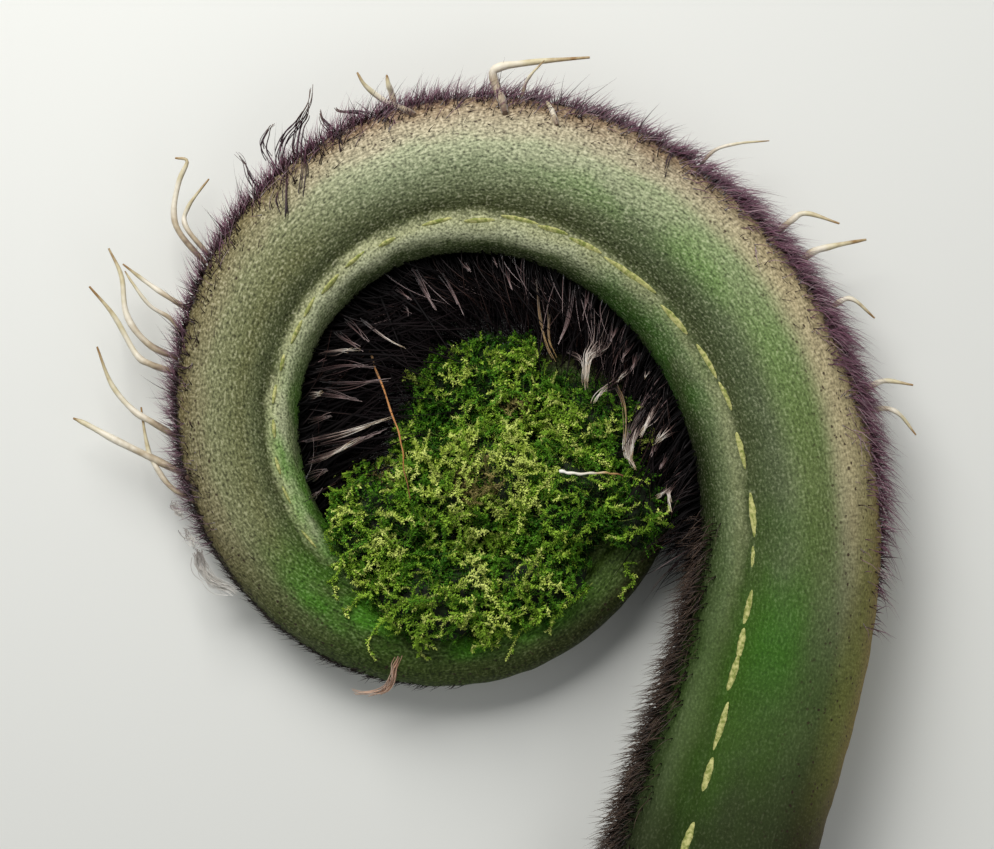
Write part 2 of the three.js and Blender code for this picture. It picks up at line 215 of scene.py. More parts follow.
def lobe_reach(middle, wide, height, angle):
    """How far a lobe's outline is from the section's middle, in half widths."""
    offset = middle / wide
    p, q = np.cos(angle) / wide, np.sin(angle) / (height * THICKNESS_TO_WIDTH)
    a = p * p + q * q
    b = -2 * p * offset
    root = b * b - 4 * a * (offset * offset - 1)
    return np.where(root < 0, 0, (np.sqrt(np.maximum(root, 0)) - b) / (2 * a))


def section_reach(angle):
    """The section's outline in half widths: the further lobe, with the groove between them eased."""
    back, front = (lobe_reach(*lobe, angle) / GROOVE_SOFTNESS for lobe in (BACK_LOBE, FRONT_ROLL))
    return np.logaddexp(back, front) * GROOVE_SOFTNESS


def set_attributes(mesh, **stored):
    """Stores numbers or vectors for the points of a mesh, under their names."""
    for name, values in stored.items():
        values = np.asarray(values, dtype=np.float32)
        kind, key = ("FLOAT", "value") if values.ndim == 1 else ("FLOAT_VECTOR", "vector")
        mesh.attributes.new(name, kind, "POINT").data.foreach_set(key, values.ravel())


def read_attribute(mesh, name):
    """The numbers that a mesh holds for its points under a name."""
    values = np.empty(len(mesh.vertices), dtype=np.float32)
    mesh.attributes[name].data.foreach_get("value", values)
    return values


def new_tree(name, **labels):
    """An empty Geometry Nodes tree with inputs of each kind, and its input and output nodes."""
    tree = bpy.data.node_groups.new(name, "GeometryNodeTree")
    tree.interface.new_socket("Geometry", in_out="OUTPUT", socket_type="NodeSocketGeometry")
    for kind, names in {"Geometry": "Geometry", "Material": "Material", **labels}.items():
        for label in names.split(", "):
            tree.interface.new_socket(label, in_out="INPUT", socket_type=f"NodeSocket{kind}")
    return tree, add(tree, "NodeGroupInput").outputs, add(tree, "NodeGroupOutput").inputs


def end_tree(tree, given, result, shape, smooth=True):
    """Ends a tree with real geometry, shaded smooth or flat, in its material."""
    whole = add(tree, "RealizeInstances", {"Geometry": shape})
    shaded = add(tree, "SetShadeSmooth", {"Geometry": whole, "Shade Smooth": smooth})
    painted = add(tree, "SetMaterial", {"Geometry": shaded, "Material": given["Material"]})
    tree.links.new(painted.outputs[0], result[0])
    return tree


def grow(name, carrier, tree, **values):
    """A plain mesh object: what the tree makes from a carrier mesh, with its inputs set by name."""
    made = place_object(name, carrier)
    modifier = made.modifiers.new(tree.name, "NODES")
    modifier.node_group = tree
    for socket in tree.interface.items_tree:
        key = socket.name.replace(" ", "_")
        if socket.in_out == "INPUT" and key in values:
            modifier[socket.identifier] = values[key]
    mesh = bpy.data.meshes.new_from_object(made.evaluated_get(bpy.context.evaluated_depsgraph_get()))
    made.modifiers.remove(modifier)
    made.data = mesh
    mesh.name = name
    return made


def finish_piece(piece, slot, *starts):
    """The piece rides on the one body and stands for the nodes that start so. Its slot is not used."""
    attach(piece, "root")
    if starts:
        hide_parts(*[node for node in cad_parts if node.startswith(starts)])


def shaped_object(name, shaper):
    """An object whose mesh is what a mesh shaper holds, already in metres or scale-free."""
    mesh = bpy.data.meshes.new(name)
    shaper.to_mesh(mesh)
    shaper.free()
    return place_object(name, mesh)


def discard(*objects):
    """Removes construction objects that aren't part of the crozier."""
    for each in objects:
        bpy.data.objects.remove(each)


def sweep_tree(name, twist):
    """A tree that sweeps a closed section along lines, as wide as their attribute half says."""
    tree, given, result = new_tree(name, Object="Section", Float="Relief, Relief Size")
    half, free = (add(tree, "InputNamedAttribute", {"Name": label}) for label in ("half", "free"))
    curve = add(tree, "MeshToCurve", {"Mesh": given["Geometry"]})
    upright = add(tree, "SetCurveNormal", {"Curve": curve}, mode=twist)
    section = add(tree, "GeometryNodeObjectInfo", {"Object": given["Section"]})
    outline = add(tree, "MeshToCurve", {"Mesh": section.outputs["Geometry"]})
    swept = add(tree, "CurveToMesh", {
        "Curve": upright, "Profile Curve": outline, "Scale": half, "Fill Caps": True})
    fineness = add(tree, "Math", (1.0, given["Relief Size"]), operation="DIVIDE")
    lumps = add(tree, "TexNoise", {"Scale": fineness, "Detail": 3.0})
    height = add(tree, "Math", (lumps, 0.5), operation="SUBTRACT")
    for share in (free, given["Relief"]):
        height = add(tree, "Math", (height, share), operation="MULTIPLY")
    offset = add(tree, "VectorMath", {
        0: add(tree, "InputNormal"), "Scale": height}, operation="SCALE")
    moved = add(tree, "SetPosition", {"Geometry": swept, "Offset": offset})
    return end_tree(tree, given, result, moved)


def section_object(name, outline):
    """A closed outline in its own plane, in half widths, as the sweep's section."""
    count = len(outline)
    return place_object(name, new_mesh(name, [(x / MM, y / MM, 0) for x, y in outline],
                                       edges=[(i, (i + 1) % count) for i in range(count)]))


def fill_ramp(ramp, stops):
    """Gives a colour ramp these stops: places from 0 to 1 and their colours."""
    points = ramp.color_ramp.elements
    while len(points) < len(stops):
        points.new(1.0)
    for point, (place, code) in zip(points, stops):
        point.position = place
        point.color = linear(code)
    return ramp


# Living skin of a fern stalk, grown. It is matt with a faint wax, grey-green on the flanks, tan on
# the bristly back and nearly black-green by the hollow, and all of it is finely grained. The dark by
# the hollow and in the grooves is partly painted shade.
skin, tree, shade = new_material("living_stalk_skin", Roughness=0.62, IOR=1.42,
                                 Specular_IOR_Level=0.16)
across, station, surface = (
    add(tree, "Attribute", attribute_name=label).outputs[output]
    for label, output in (("across", "Fac"), ("station", "Fac"), ("surface", "Vector")))
# The spots of each noise: their length and width in millimetres, and their detail.
SKIN_NOISES = {
    "waves": (5, 3, 4), "patches": (9, 5, 9), "grains": (0.36, 0.3, 2), "grooves": (0.8, 0.34, 2),
    "ribs": (0.34, 1.3, 2), "ragged": (0.5, 0.4, 2), "rare": (2.2, 1.6, 2),
}
noises = {}
for name, (long, wide, detail) in SKIN_NOISES.items():
    stretched = add(tree, "VectorMath", (surface, (1 / long, 1 / wide, 1)), operation="MULTIPLY")
    noises[name] = add(tree, "TexNoise", {"Vector": stretched, "Scale": 1.0, "Detail": detail})

# The colour runs across the stalk from the hollow's edge, at -1, to the middle of the back, at 1.
# Its dark band in the groove, near -0.48, and its near black at the hollow's edge are partly painted
# shade.
SKIN_ACROSS = [
    (-1.0, "#303a1d"), (-0.9, "#525d39"), (-0.78, "#abaf8c"), (-0.62, "#999b74"),
    (-0.48, "#454a2c"), (-0.3, "#585f3f"), (0.05, "#7b8363"), (0.36, "#969a7a"),
    (0.52, "#a0997e"), (0.7, "#9b8e75"), (0.86, "#856f56"), (1.0, "#553c30"),
]
WAVE_DEPTH = 0.3
centred = add(tree, "Math", (noises["waves"], 0.5), operation="SUBTRACT")
wavy = add(tree, "Math", (centred, WAVE_DEPTH, across), operation="MULTIPLY_ADD")
colour = fill_ramp(add(tree, "ValToRGB", {0: add(tree, "MapRange", (wavy, -1.0, 1.0))}),
                   [((place + 1) / 2, code) for place, code in SKIN_ACROSS])

# Broad tints: two stations and the fade beyond them, two places across, of which -3 and 3 are all
# round, a colour and its share. The patchy ones are fresh green, on young skin or by the moss. Some
# are painted shade: darker in the groove from station 34 to 90, along the hollow's edge on the
# stalk and the foot's inner face, and, in part, over the coil's lower turns and the inner turns
# under the moss. Two are painted light: on the front roll's crest on the left and on the back from
# station 44 to 78.
SKIN_TINTS_AND_PAINTED_LIGHT = [
    (34, 90, 12, -0.46, 0.02, "#39472a", 0.6), (30, 66, 12, 0.0, 0.5, "#4a5b22", 0.78),
    (26, 88, 10, -1.3, -0.6, "#3a4c23", 0.86), (126, 182, 10, -0.25, 2, "#605f36", 0.65),
    (136, 168, 8, -1.3, -0.72, "#8b976a", 0.5), (-30, 36, 14, -3, 3, "#2e4712", 0.9),
    (-30, 52, 12, 0.66, 2, "#7e7f40", 0.68), (-30, 52, 12, 0.94, 2, "#916b3c", 0.7),
    (44, 78, 10, 0.5, 0.95, "#bcae82", 0.52), (-30, 6, 12, -3, 3, "#171908", 0.85),
    (-30, 10, 14, 0.54, 2, "#261d10", 0.84), (178, 330, 12, -3, 3, "#32460f", 0.94),
    (172, 194, 8, -3, 3, "#2c450d", 0.5), (204, 330, 12, 0.5, 2, "#2c2a18", 0.6),
    (54, 84, 12, 0.0, 0.5, "#617d3f", 0.5), (66, 100, 14, -0.1, 0.34, "#62843f", 0.5, True),
    (60, 84, 8, -1.2, -0.6, "#38661f", 0.6, True), (2, 46, 10, -0.6, 0.2, "#35590f", 0.35, True),
    (21, 33, 7, -0.36, 0.16, "#2c6106", 0.55), (-30, 14, 9, -0.2, 0.7, "#2b2f1a", 0.5),
    (-30, 60, 8, -3, -0.87, "#15160a", 0.88), (176, 212, 10, -1.2, 0.3, "#3b720d", 0.85, True),
    (148, 178, 8, -1.2, -0.6, "#4a7d1b", 0.75, True),
]
ACROSS_FADE = 0.18
PATCH_EDGE = (0.38, 0.6)
patches = add(tree, "MapRange", (noises["patches"], *PATCH_EDGE))
for low, high, fade, inner, outer, code, share, *patchy in SKIN_TINTS_AND_PAINTED_LIGHT:
    for value, start, end in (
            (station, low - fade, low + fade), (station, high + fade, high - fade),
            (across, inner - ACROSS_FADE, inner + ACROSS_FADE),
            (across, outer + ACROSS_FADE, outer - ACROSS_FADE)):
        inside = add(tree, "MapRange", (value, start, end), interpolation_type="SMOOTHSTEP")
        share = add(tree, "Math", (share, inside), operation="MULTIPLY")
    if patchy:
        share = add(tree, "Math", (share, patches), operation="MULTIPLY")
    colour = add(tree, "Mix", {0: share, 6: colour, 7: linear(code)}, data_type="RGBA")

# Fine grains everywhere, drawn out along the flanks and across the tan back, where hairs stood.
# They are strongest round the coil, and faint on the smooth foot. The lightest ones are waxy.
# Where four numbers stand, the last two are what the first two are turned into.
NOISE_SPAN = (0.36, 0.64)
BACK_EDGE = (0.4, 0.6)
STREAK_SHARE = 0.42
GRAIN_DEPTH = (10.0, 88.0, 0.26, 0.76)
GRAIN_LIFT = 1.12
WAXY_GRAINS = (0.25, 1.0, 0.0, 0.5)
WAX_ALONG = (26.0, 90.0, 0.08, 0.7)
WAX_WORN = (138.0, 190.0, 1.0, 0.25)
GRAIN_HEIGHT = 0.12
margin = add(tree, "MapRange", (across, *BACK_EDGE))
drawn_out = add(tree, "Mix", {0: margin, 2: noises["grooves"], 3: noises["ribs"]})
height = add(tree, "Mix", {0: STREAK_SHARE, 2: noises["grains"], 3: drawn_out})
contrast = add(tree, "MapRange", (height, *NOISE_SPAN, -1.0, 1.0))
lit = add(tree, "Math", (contrast, add(tree, "MapRange", (station, *GRAIN_DEPTH)), GRAIN_LIFT),
          operation="MULTIPLY_ADD")
colour = add(tree, "VectorMath", {0: colour, "Scale": lit}, operation="SCALE")
waxy = add(tree, "MapRange", (contrast, *WAXY_GRAINS))
for span in (WAX_ALONG, WAX_WORN):
    waxy = add(tree, "Math", (waxy, add(tree, "MapRange", (station, *span))), operation="MULTIPLY")
colour = add(tree, "Mix", {0: waxy, 6: colour, 7: linear("#cdc6b0")}, data_type="RGBA")

# Dark specks where fallen hairs have left their bases, thick on the back and rare on the flanks.
HAIR_BASE_SPACING = 1.1
HAIR_BASE_EDGE = (0.42, 0.34)
HAIR_BASE_LEFT = (0.48, 0.58)
HAIR_BASE_ACROSS = (0.05, 0.55, 0.0, 0.85)
HAIR_BASE_DEPTH = 0.15
bases = add(tree, "TexVoronoi", {
    "Vector": surface, "Scale": 1 / HAIR_BASE_SPACING}, voronoi_dimensions="2D")
ragged = add(tree, "Math", (noises["ragged"], 0.5, bases.outputs["Distance"]),
             operation="MULTIPLY_ADD")
speck = add(tree, "MapRange", (ragged, *HAIR_BASE_EDGE))
share = add(tree, "Math", (add(tree, "MapRange", (noises["rare"], *HAIR_BASE_LEFT)),
                           add(tree, "MapRange", (across, *HAIR_BASE_ACROSS))), operation="MULTIPLY")
speck = add(tree, "Math", (speck, share), operation="MULTIPLY")
colour = add(tree, "Mix", {0: speck, 6: colour, 7: linear("#33211d")}, data_type="RGBA")
tree.links.new(colour.outputs[2], shade.inputs["Base Color"])
bump = add(tree, "Bump", {"Height": height, "Strength": 0.55, "Distance": GRAIN_HEIGHT * MM})
speck_bump = add(tree, "Bump", {
    "Height": speck, "Strength": 0.4, "Distance": -HAIR_BASE_DEPTH * MM, "Normal": bump})
tree.links.new(speck_bump.outputs[0], shade.inputs["Normal"])

RELIEF_FREE = 1.5
SKIN_RELIEF = 0.55
SKIN_RELIEF_SIZE = 3.5
stations = np.arange(CUT_STATION, TIP_STATION + SKIN_STEP / 2, SKIN_STEP)
middles, _, _, halves = place_at(stations)
skin_line = new_mesh("stalk_line", middles, edges=[(i, i + 1) for i in range(len(stations) - 1)])
set_attributes(skin_line, station=stations, half=halves * MM,
               free=np.clip((stations - CUT_STATION) / RELIEF_FREE, 0, 1))
section_angles = np.linspace(0, 2 * math.pi, SKIN_SIDES, endpoint=False)
reaches = section_reach(section_angles)
outline = np.column_stack([np.cos(section_angles) * reaches, np.sin(section_angles) * reaches])
skin_section = section_object("stalk_section", (outline * (1, -1))[::-1])
set_attributes(skin_section.data, angle=section_angles[::-1])
stalk = grow("stalk_skin", skin_line, sweep_tree("swept_stalk", "Z_UP"), Section=skin_section,
             Relief=SKIN_RELIEF * MM, Relief_Size=SKIN_RELIEF_SIZE * MM, Material=skin)
discard(skin_section)
for vert in stalk.data.vertices:
    vert.co.z = max(vert.co.z, 0.0)
skin_station = read_attribute(stalk.data, "station")
skin_angle = read_attribute(stalk.data, "angle")
skin_half = along(WIDTH, skin_station) / 2
outline_length = np.concatenate([[0], np.cumsum(np.hypot(*np.diff(outline, axis=0).T))])
set_attributes(
    stalk.data, across=np.cos(skin_angle) * section_reach(skin_angle), surface=np.column_stack([
        skin_station, np.interp(skin_angle, section_angles, outline_length) * skin_half,
        np.zeros_like(skin_station)]))
finish_piece(stalk, "stalk_skin", "stalk_", "outer_turn_", "inner_turn_", "rolled_tip")

# The breathing line. Along the groove of each flank the skin is broken by a row of pale slits of
# loose tissue that let air into the stalk. They are long and wide low down, and fine in the coil.
LINE_ANGLE = [
    (CUT_STATION, 116), (10, 118), (20, 121), (40, 127.5), (60, 129.5), (80, 132), (100, 132.5),
    (120, 135.5), (140, 135.5), (170, 133),
]
SLITS = [
    (-13.5, -9.5), (-8, -3), (-1.5, 4), (7.5, 12), (12.5, 19), (20, 25), (24.6, 28.5), (28.2, 33.5),
    (36, 39.5), (40, 46.5), (50, 55), (58.5, 62.5), (63.5, 68.5), (71, 76), (78.5, 86.5), (88, 92.5),
    (93.5, 97.5), (98, 103), (104.5, 108.5), (111, 115), (120, 122.5), (125, 128.5), (130.5, 134),
    (135.5, 138.5), (139.5, 143), (145, 147.5), (150, 152.5), (155, 157.5), (160.5, 163), (165, 167.5),
    (172, 175),
]
SLIT_WIDTH = [
    (CUT_STATION, 1.15), (31, 1.0), (38, 1.5), (44, 1.15), (80, 1.0), (110, 0.85), (150, 0.62), (178, 0.3),
]
SLIT_HEIGHT = 0.34
SLIT_FACES = {"upper": (1, 0), "lower": (-1, 1.7)}
SLIT_SPREAD = (0.8, 1.15)
SLIT_SWAY = 0.022
SLIT_TILT = 0.09
RIPPLE = 0.16


def strew_tree(name):
    """A tree that sets a small shape on every point, turned and scaled as its attributes say."""
    tree, given, result = new_tree(name, Object="Shape", Bool="Smooth")
    shape = add(tree, "GeometryNodeObjectInfo", {"Object": given["Shape"]})
    facing, ahead, size = (
        add(tree, "InputNamedAttribute", {"Name": label}, data_type="FLOAT_VECTOR")
        for label in ("facing", "ahead", "size"))
    spin = add(tree, "FunctionNodeAxesToRotation", {"Primary Axis": facing, "Secondary Axis": ahead},
               primary_axis="Z", secondary_axis="Y")
    placed = add(tree, "InstanceOnPoints", {
        "Points": given["Geometry"], "Instance": shape.outputs["Geometry"], "Rotation": spin,
        "Scale": size})
    return end_tree(tree, given, result, placed, given["Smooth"])


strewn = strew_tree("strewn_shapes")


def drop_attributes(piece, *kept):
    """Removes what was stored on the piece only to build it."""
    for label in ("facing", "ahead", "size", "half", "free", "station", "angle", "across", "surface",
                  "coat", "forward", "curl", "reach"):
        if label not in kept and label in piece.data.attributes:
            piece.data.attributes.remove(piece.data.attributes[label])


def strew(name, slot, shape, material, places, facing, ahead, size, smooth=True):
    """A piece made of one shape set on many places, with Z facing out and Y ahead."""
    cloud = new_mesh(name + "_places", places)
    set_attributes(cloud, facing=facing, ahead=ahead, size=size * MM)
    piece = grow(name, cloud, strewn, Shape=shape, Material=material, Smooth=smooth)
    drop_attributes(piece)
    finish_piece(piece, slot)


def mottled_material(name, dark, light, size, **shader):
    """A material that goes from one colour to the other in spots of about this size, in mm."""
    material, tree, shade = new_material(name, **shader)
    spots = add(tree, "TexNoise", {
        "Vector": add(tree, "TexCoord").outputs["Object"], "Scale": 1 / (size * MM), "Detail": 3.0})
    share = add(tree, "MapRange", (spots, *NOISE_SPAN))
    colour = add(tree, "Mix", {0: share, 6: linear(dark), 7: linear(light)}, data_type="RGBA")
    tree.links.new(colour.outputs[2], shade.inputs["Base Color"])
    return material


# Loose airy tissue, grown. It is dry and chalky, cream with yellow-green crumbs.
slit_tissue = mottled_material("loose_airy_tissue", "#7f893e", "#cac681", 0.45, Roughness=0.9)
lozenge = bmesh.new()
bmesh.ops.create_icosphere(lozenge, subdivisions=3, radius=0.5)
for vert in lozenge.verts:
    vert.co.x *= 1 + RIPPLE * math.sin(23 * vert.co.y + 9 * vert.co.x)
lozenge_shape = shaped_object("lozenge", lozenge)

chance = np.random.default_rng(5)
slit_ends = np.array(SLITS)
for label, (face, shift) in SLIT_FACES.items():
    middles = slit_ends.mean(axis=1) + shift
    lengths = slit_ends[:, 1] - slit_ends[:, 0]
    widths = along(SLIT_WIDTH, middles) * chance.uniform(*SLIT_SPREAD, len(middles))
    angles = np.radians(along(LINE_ANGLE, middles)) * face
    angles += chance.uniform(-SLIT_SWAY, SLIT_SWAY, len(angles))
    middle, forward, out, half = place_at(middles)
    away = turned(angles, out, UP)
    ahead = forward + np.cross(away, forward) * chance.uniform(-SLIT_TILT, SLIT_TILT, (len(angles), 1))
    strew(f"breathing_slits_{label}", "stalk_skin", lozenge_shape, slit_tissue,
          middle + away * (section_reach(angles) * half)[:, None], away, ahead,
          np.column_stack([widths, lengths, widths * 0 + SLIT_HEIGHT]))

# The cut end. The frond was cut off square. The cut shows pale moist pith inside a dark hard rim,
# and an arc of brown strands that carry water, which curls inwards at both of its ends.
CUT_LIFT = 0.04
CUT_RINGS = (0.2, 0.4, 0.6, 0.72, 0.82, 0.88, 0.93, 0.97, 0.995, 0.98)
CUT_BACK = 0.2
CUT_COLOURS = [
    (0.0, "#a7a878"), (0.55, "#b9b78a"), (0.86, "#8b8f55"), (0.93, "#4c4728"), (1.0, "#241c12")]
CUT_CELL = 0.5
CUT_RAGGED = 0.08
CUT_GRAIN = 0.1
cut_pith, tree, shade = new_material("moist_pith", Roughness=0.35, IOR=1.38)
rim = add(tree, "Attribute", attribute_name="rim").outputs["Fac"]
cells = add(tree, "TexNoise", {
    "Vector": add(tree, "TexCoord").outputs["Object"], "Scale": 1 / (CUT_CELL * MM), "Detail": 3.0})
uneven = add(tree, "Math", (cells, CUT_RAGGED, rim), operation="MULTIPLY_ADD")
rings = fill_ramp(add(tree, "ValToRGB", {0: uneven}), CUT_COLOURS)
tree.links.new(rings.outputs[0], shade.inputs["Base Color"])
cell_bump = add(tree, "Bump", {"Height": cells, "Strength": 0.3, "Distance": CUT_GRAIN * MM})
tree.links.new(cell_bump.outputs[0], shade.inputs["Normal"])
cut_middle, _, cut_out, cut_half = place_at(np.float64(CUT_STATION))
cut_forward = place_at(np.float64(CUT_STATION + LINE_STEP))[0] - cut_middle
cut_forward /= np.linalg.norm(cut_forward)
cut_up = np.cross(cut_out, cut_forward)
cut_lifts = np.full(len(CUT_RINGS), CUT_LIFT)
cut_lifts[-1] = -CUT_BACK
cut_ways = turned(section_angles, cut_out, cut_up)
cut_points = np.concatenate([
    cut_middle - cut_forward * lift + ring * cut_half * reaches[:, None] * cut_ways
    for ring, lift in zip(CUT_RINGS, cut_lifts)]
    + [[cut_middle - cut_forward * CUT_LIFT, cut_middle + cut_forward * CUT_BACK]])
hub = len(CUT_RINGS) * SKIN_SIDES
cut_faces = []
for side in range(SKIN_SIDES):
    after = (side + 1) % SKIN_SIDES
    cut_faces.append((hub, side, after))
    for ring in range(len(CUT_RINGS) - 1):
        low, high = ring * SKIN_SIDES, (ring + 1) * SKIN_SIDES
        cut_faces.append((low + side, high + side, high + after, low + after))
    cut_faces.append((hub + 1, high + after, high + side))
cut_face = place_object("cut_face", new_mesh("cut_face", cut_points, faces=cut_faces))
set_attributes(cut_face.data, rim=np.concatenate([np.repeat(CUT_RINGS, SKIN_SIDES), [0.0, 0.0]]))
cut_face.data.materials.append(cut_pith)
finish_piece(cut_face, "stalk_skin")

STRAND_SIZE = (0.55, 1.15, 0.16)
strand_angles = np.radians(np.concatenate([np.arange(38, 323, 9.5), [34, 326], [48, 312], [66, 294]]))
strand_reach = np.concatenate([np.full(30, 0.74), [0.6, 0.6], [0.47, 0.47], [0.4, 0.4]])
strand_way = turned(strand_angles, cut_out, cut_up)
strew("cut_strands", "stalk_skin", lozenge_shape,
      mottled_material("cut_water_strand", "#3a2814", "#7a6232", 0.3, Roughness=0.5),
      cut_middle - cut_forward * CUT_LIFT
      + strand_way * (strand_reach * section_reach(strand_angles) * cut_half)[:, None],
      np.tile(-cut_forward, (len(strand_way), 1)), np.cross(strand_way, cut_forward),
      np.tile(STRAND_SIZE, (len(strand_way), 1)))
discard(lozenge_shape)

# The coats of hair. A tree fern's frond is born in a fur that shelters the coil. Stiff bristles
# stand along its back, and dark matted hair lines the hollow and the stalk's inner edge. Each hair
# is one tapering strand that grows out of the skin, leans with its neighbours and curls.
HAIR_FLOOR = 0.15
HAIR_SPOT = 1.2
PER_SQUARE_MM = 1e6


def coat_tree():
    """A tree that grows hair on a skin, as thick as its attribute coat says."""
    tree, given, result = new_tree(
        "hair_coat", Float="Density, Length, Length Spread, Thickness, Lean, Wildness, Clumping, "
        "Clump Size, Curl Wildness, Lowest", Int="Segments, Seed", Vector="Curl")
    coat, reach = (add(tree, "InputNamedAttribute", {"Name": label}) for label in ("coat", "reach"))
    forward, curl_kept = (
        add(tree, "InputNamedAttribute", {"Name": label}, data_type="FLOAT_VECTOR")
        for label in ("forward", "curl"))
    density = add(tree, "Math", (given["Density"], coat), operation="MULTIPLY")
    spread = add(tree, "DistributePointsOnFaces", {
        "Mesh": given["Geometry"], "Density": density, "Seed": given["Seed"]})
    drawn = []
    for step, (kind, socket, low, high) in enumerate((
            ("FLOAT_VECTOR", 0, (-1, -1, -1), (1, 1, 1)), ("FLOAT_VECTOR", 0, (-1, -1, -1), (1, 1, 1)),
            ("FLOAT", 2, -1.0, 1.0), ("FLOAT", 2, 0.7, 1.3))):
        seed = add(tree, "Math", (given["Seed"], step + 1.0))
        drawn.append(add(tree, "FunctionNodeRandomValue", {
            socket: low, socket + 1: high, "Seed": seed}, data_type=kind))
    wild, curl_wild, longer, thicker = drawn

    # Each hair sets out along the skin's normal, pulled by its lean, its clump and its own way.
    fineness = add(tree, "Math", (1.0, given["Clump Size"]), operation="DIVIDE")
    clump = add(tree, "TexNoise", {"Scale": fineness, "Detail": 1.0})
    clumped = add(tree, "VectorMath", {0: clump.outputs["Color"], 1: (0.5, 0.5, 0.5)},
                  operation="SUBTRACT")
    growing = spread.outputs["Normal"]
    for way, share in ((forward, "Lean"), (wild, "Wildness"), (clumped, "Clumping")):
        pull = add(tree, "VectorMath", {0: way, "Scale": given[share]}, operation="SCALE")
        growing = add(tree, "VectorMath", (growing, pull))
    growing = add(tree, "VectorMath", {0: growing}, operation="NORMALIZE")
    length = add(tree, "Math", (given["Length Spread"], longer), operation="MULTIPLY")
    length = add(tree, "Math", (length, 1.0))
    length = add(tree, "Math", (length, given["Length"]), operation="MULTIPLY")

    # Its curl has a part forward along the stalk, a part off the skin, a rise and a chance part.
    ahead, off, rise = add(tree, "SeparateXYZ", {0: given["Curl"]}).outputs
    curl = add(tree, "CombineXYZ", {2: rise})
    for way, share in ((forward, ahead), (spread.outputs["Normal"], off),
                       (curl_wild, given["Curl Wildness"])):
        pull = add(tree, "VectorMath", {0: way, "Scale": share}, operation="SCALE")
        curl = add(tree, "VectorMath", (curl, pull))
    curl = add(tree, "VectorMath", {0: curl, "Scale": length}, operation="SCALE")
    kept = add(tree, "StoreNamedAttribute", {
        "Geometry": spread.outputs["Points"], "Name": "curl", "Value": curl},
        data_type="FLOAT_VECTOR", domain="POINT")
    cone = add(tree, "MeshCone", {
        "Vertices": 3, "Side Segments": given["Segments"], "Radius Top": 0.0,
        "Radius Bottom": 1.0, "Depth": 1.0})
    position = add(tree, "InputPosition")
    height = add(tree, "SeparateXYZ", {0: position}).outputs[2]
    strand = add(tree, "StoreNamedAttribute", {
        "Geometry": cone.outputs[0], "Name": "reach", "Value": height},
        data_type="FLOAT", domain="POINT")
    spin = add(tree, "FunctionNodeAlignRotationToVector", {"Vector": growing}, axis="Z")
    thick = add(tree, "Math", (given["Thickness"], thicker), operation="MULTIPLY")
    placed = add(tree, "InstanceOnPoints", {
        "Points": kept, "Instance": strand, "Rotation": spin,
        "Scale": add(tree, "CombineXYZ", (thick, thick, length))})
    whole = add(tree, "RealizeInstances", {"Geometry": placed})
    squared = add(tree, "Math", (reach, reach), operation="MULTIPLY")
    offset = add(tree, "VectorMath", {0: curl_kept, "Scale": squared}, operation="SCALE")
    bent = add(tree, "SetPosition", {"Geometry": whole, "Offset": offset})
    x, y, z = add(tree, "SeparateXYZ", {0: position}).outputs
    z = add(tree, "Math", (z, given["Lowest"]), operation="MAXIMUM")
    lifted = add(tree, "SetPosition", {
        "Geometry": bent, "Position": add(tree, "CombineXYZ", (x, y, z))})
    return end_tree(tree, given, result, lifted)


hair_coat = coat_tree()
fold = np.abs((np.degrees(skin_angle) + 180) % 360 - 180)
skin_forward = place_at(skin_station)[1]


def grow_coats(slot, starts, rows):
    """Coats of hair on the stalk. The first of them stands for the nodes that start so."""
    for (name, material, cover, density, length, spread, thickness, segments, lean, wildness,
         clumping, clump_size, curl, curl_wildness, seed) in rows:
        carrier = stalk.data.copy()
        set_attributes(carrier, coat=np.broadcast_to(cover, fold.shape), forward=skin_forward)
        piece = grow(
            name, carrier, hair_coat, Material=material, Lowest=HAIR_FLOOR * MM,
            Density=density * PER_SQUARE_MM, Length=length * MM, Length_Spread=spread,
            Thickness=thickness * MM, Segments=segments, Lean=lean, Wildness=wildness,
            Clumping=clumping, Clump_Size=clump_size * MM, Curl=curl, Curl_Wildness=curl_wildness,
            Seed=seed)
        drop_attributes(piece, "reach")
        finish_piece(piece, slot, *starts)
        starts = ()


def covering(folds, shares, *by_station):
    """How thick hair is over the skin: by the angle from the back, and along the stalk."""
    return np.interp(fold, folds, shares) * along(by_station, skin_station)


def strand_material(name, *colours, roughness=0.5, sheen=0.0, gloss=0.5):
    """A hair's horny wall, dull and a little uneven. Its colours follow it from root to tip."""
    material, tree, shade = new_material(name, Roughness=roughness, IOR=1.5, Sheen_Weight=sheen,
                                         Sheen_Roughness=0.4, Specular_IOR_Level=gloss)
    reach = add(tree, "Attribute", attribute_name="reach").outputs["Fac"]
    spots = add(tree, "TexNoise", {
        "Vector": add(tree, "TexCoord").outputs["Object"], "Scale": 1 / (HAIR_SPOT * MM)})
    place = add(tree, "Math", (spots, 0.5, reach), operation="MULTIPLY_ADD")
    place = add(tree, "Math", (place, 0.25), operation="SUBTRACT")
    ramp = fill_ramp(add(tree, "ValToRGB", {0: place}), [
        (i / (len(colours) - 1), code) for i, code in enumerate(colours)])
    tree.links.new(ramp.outputs[0], shade.inputs["Base Color"])
    return material
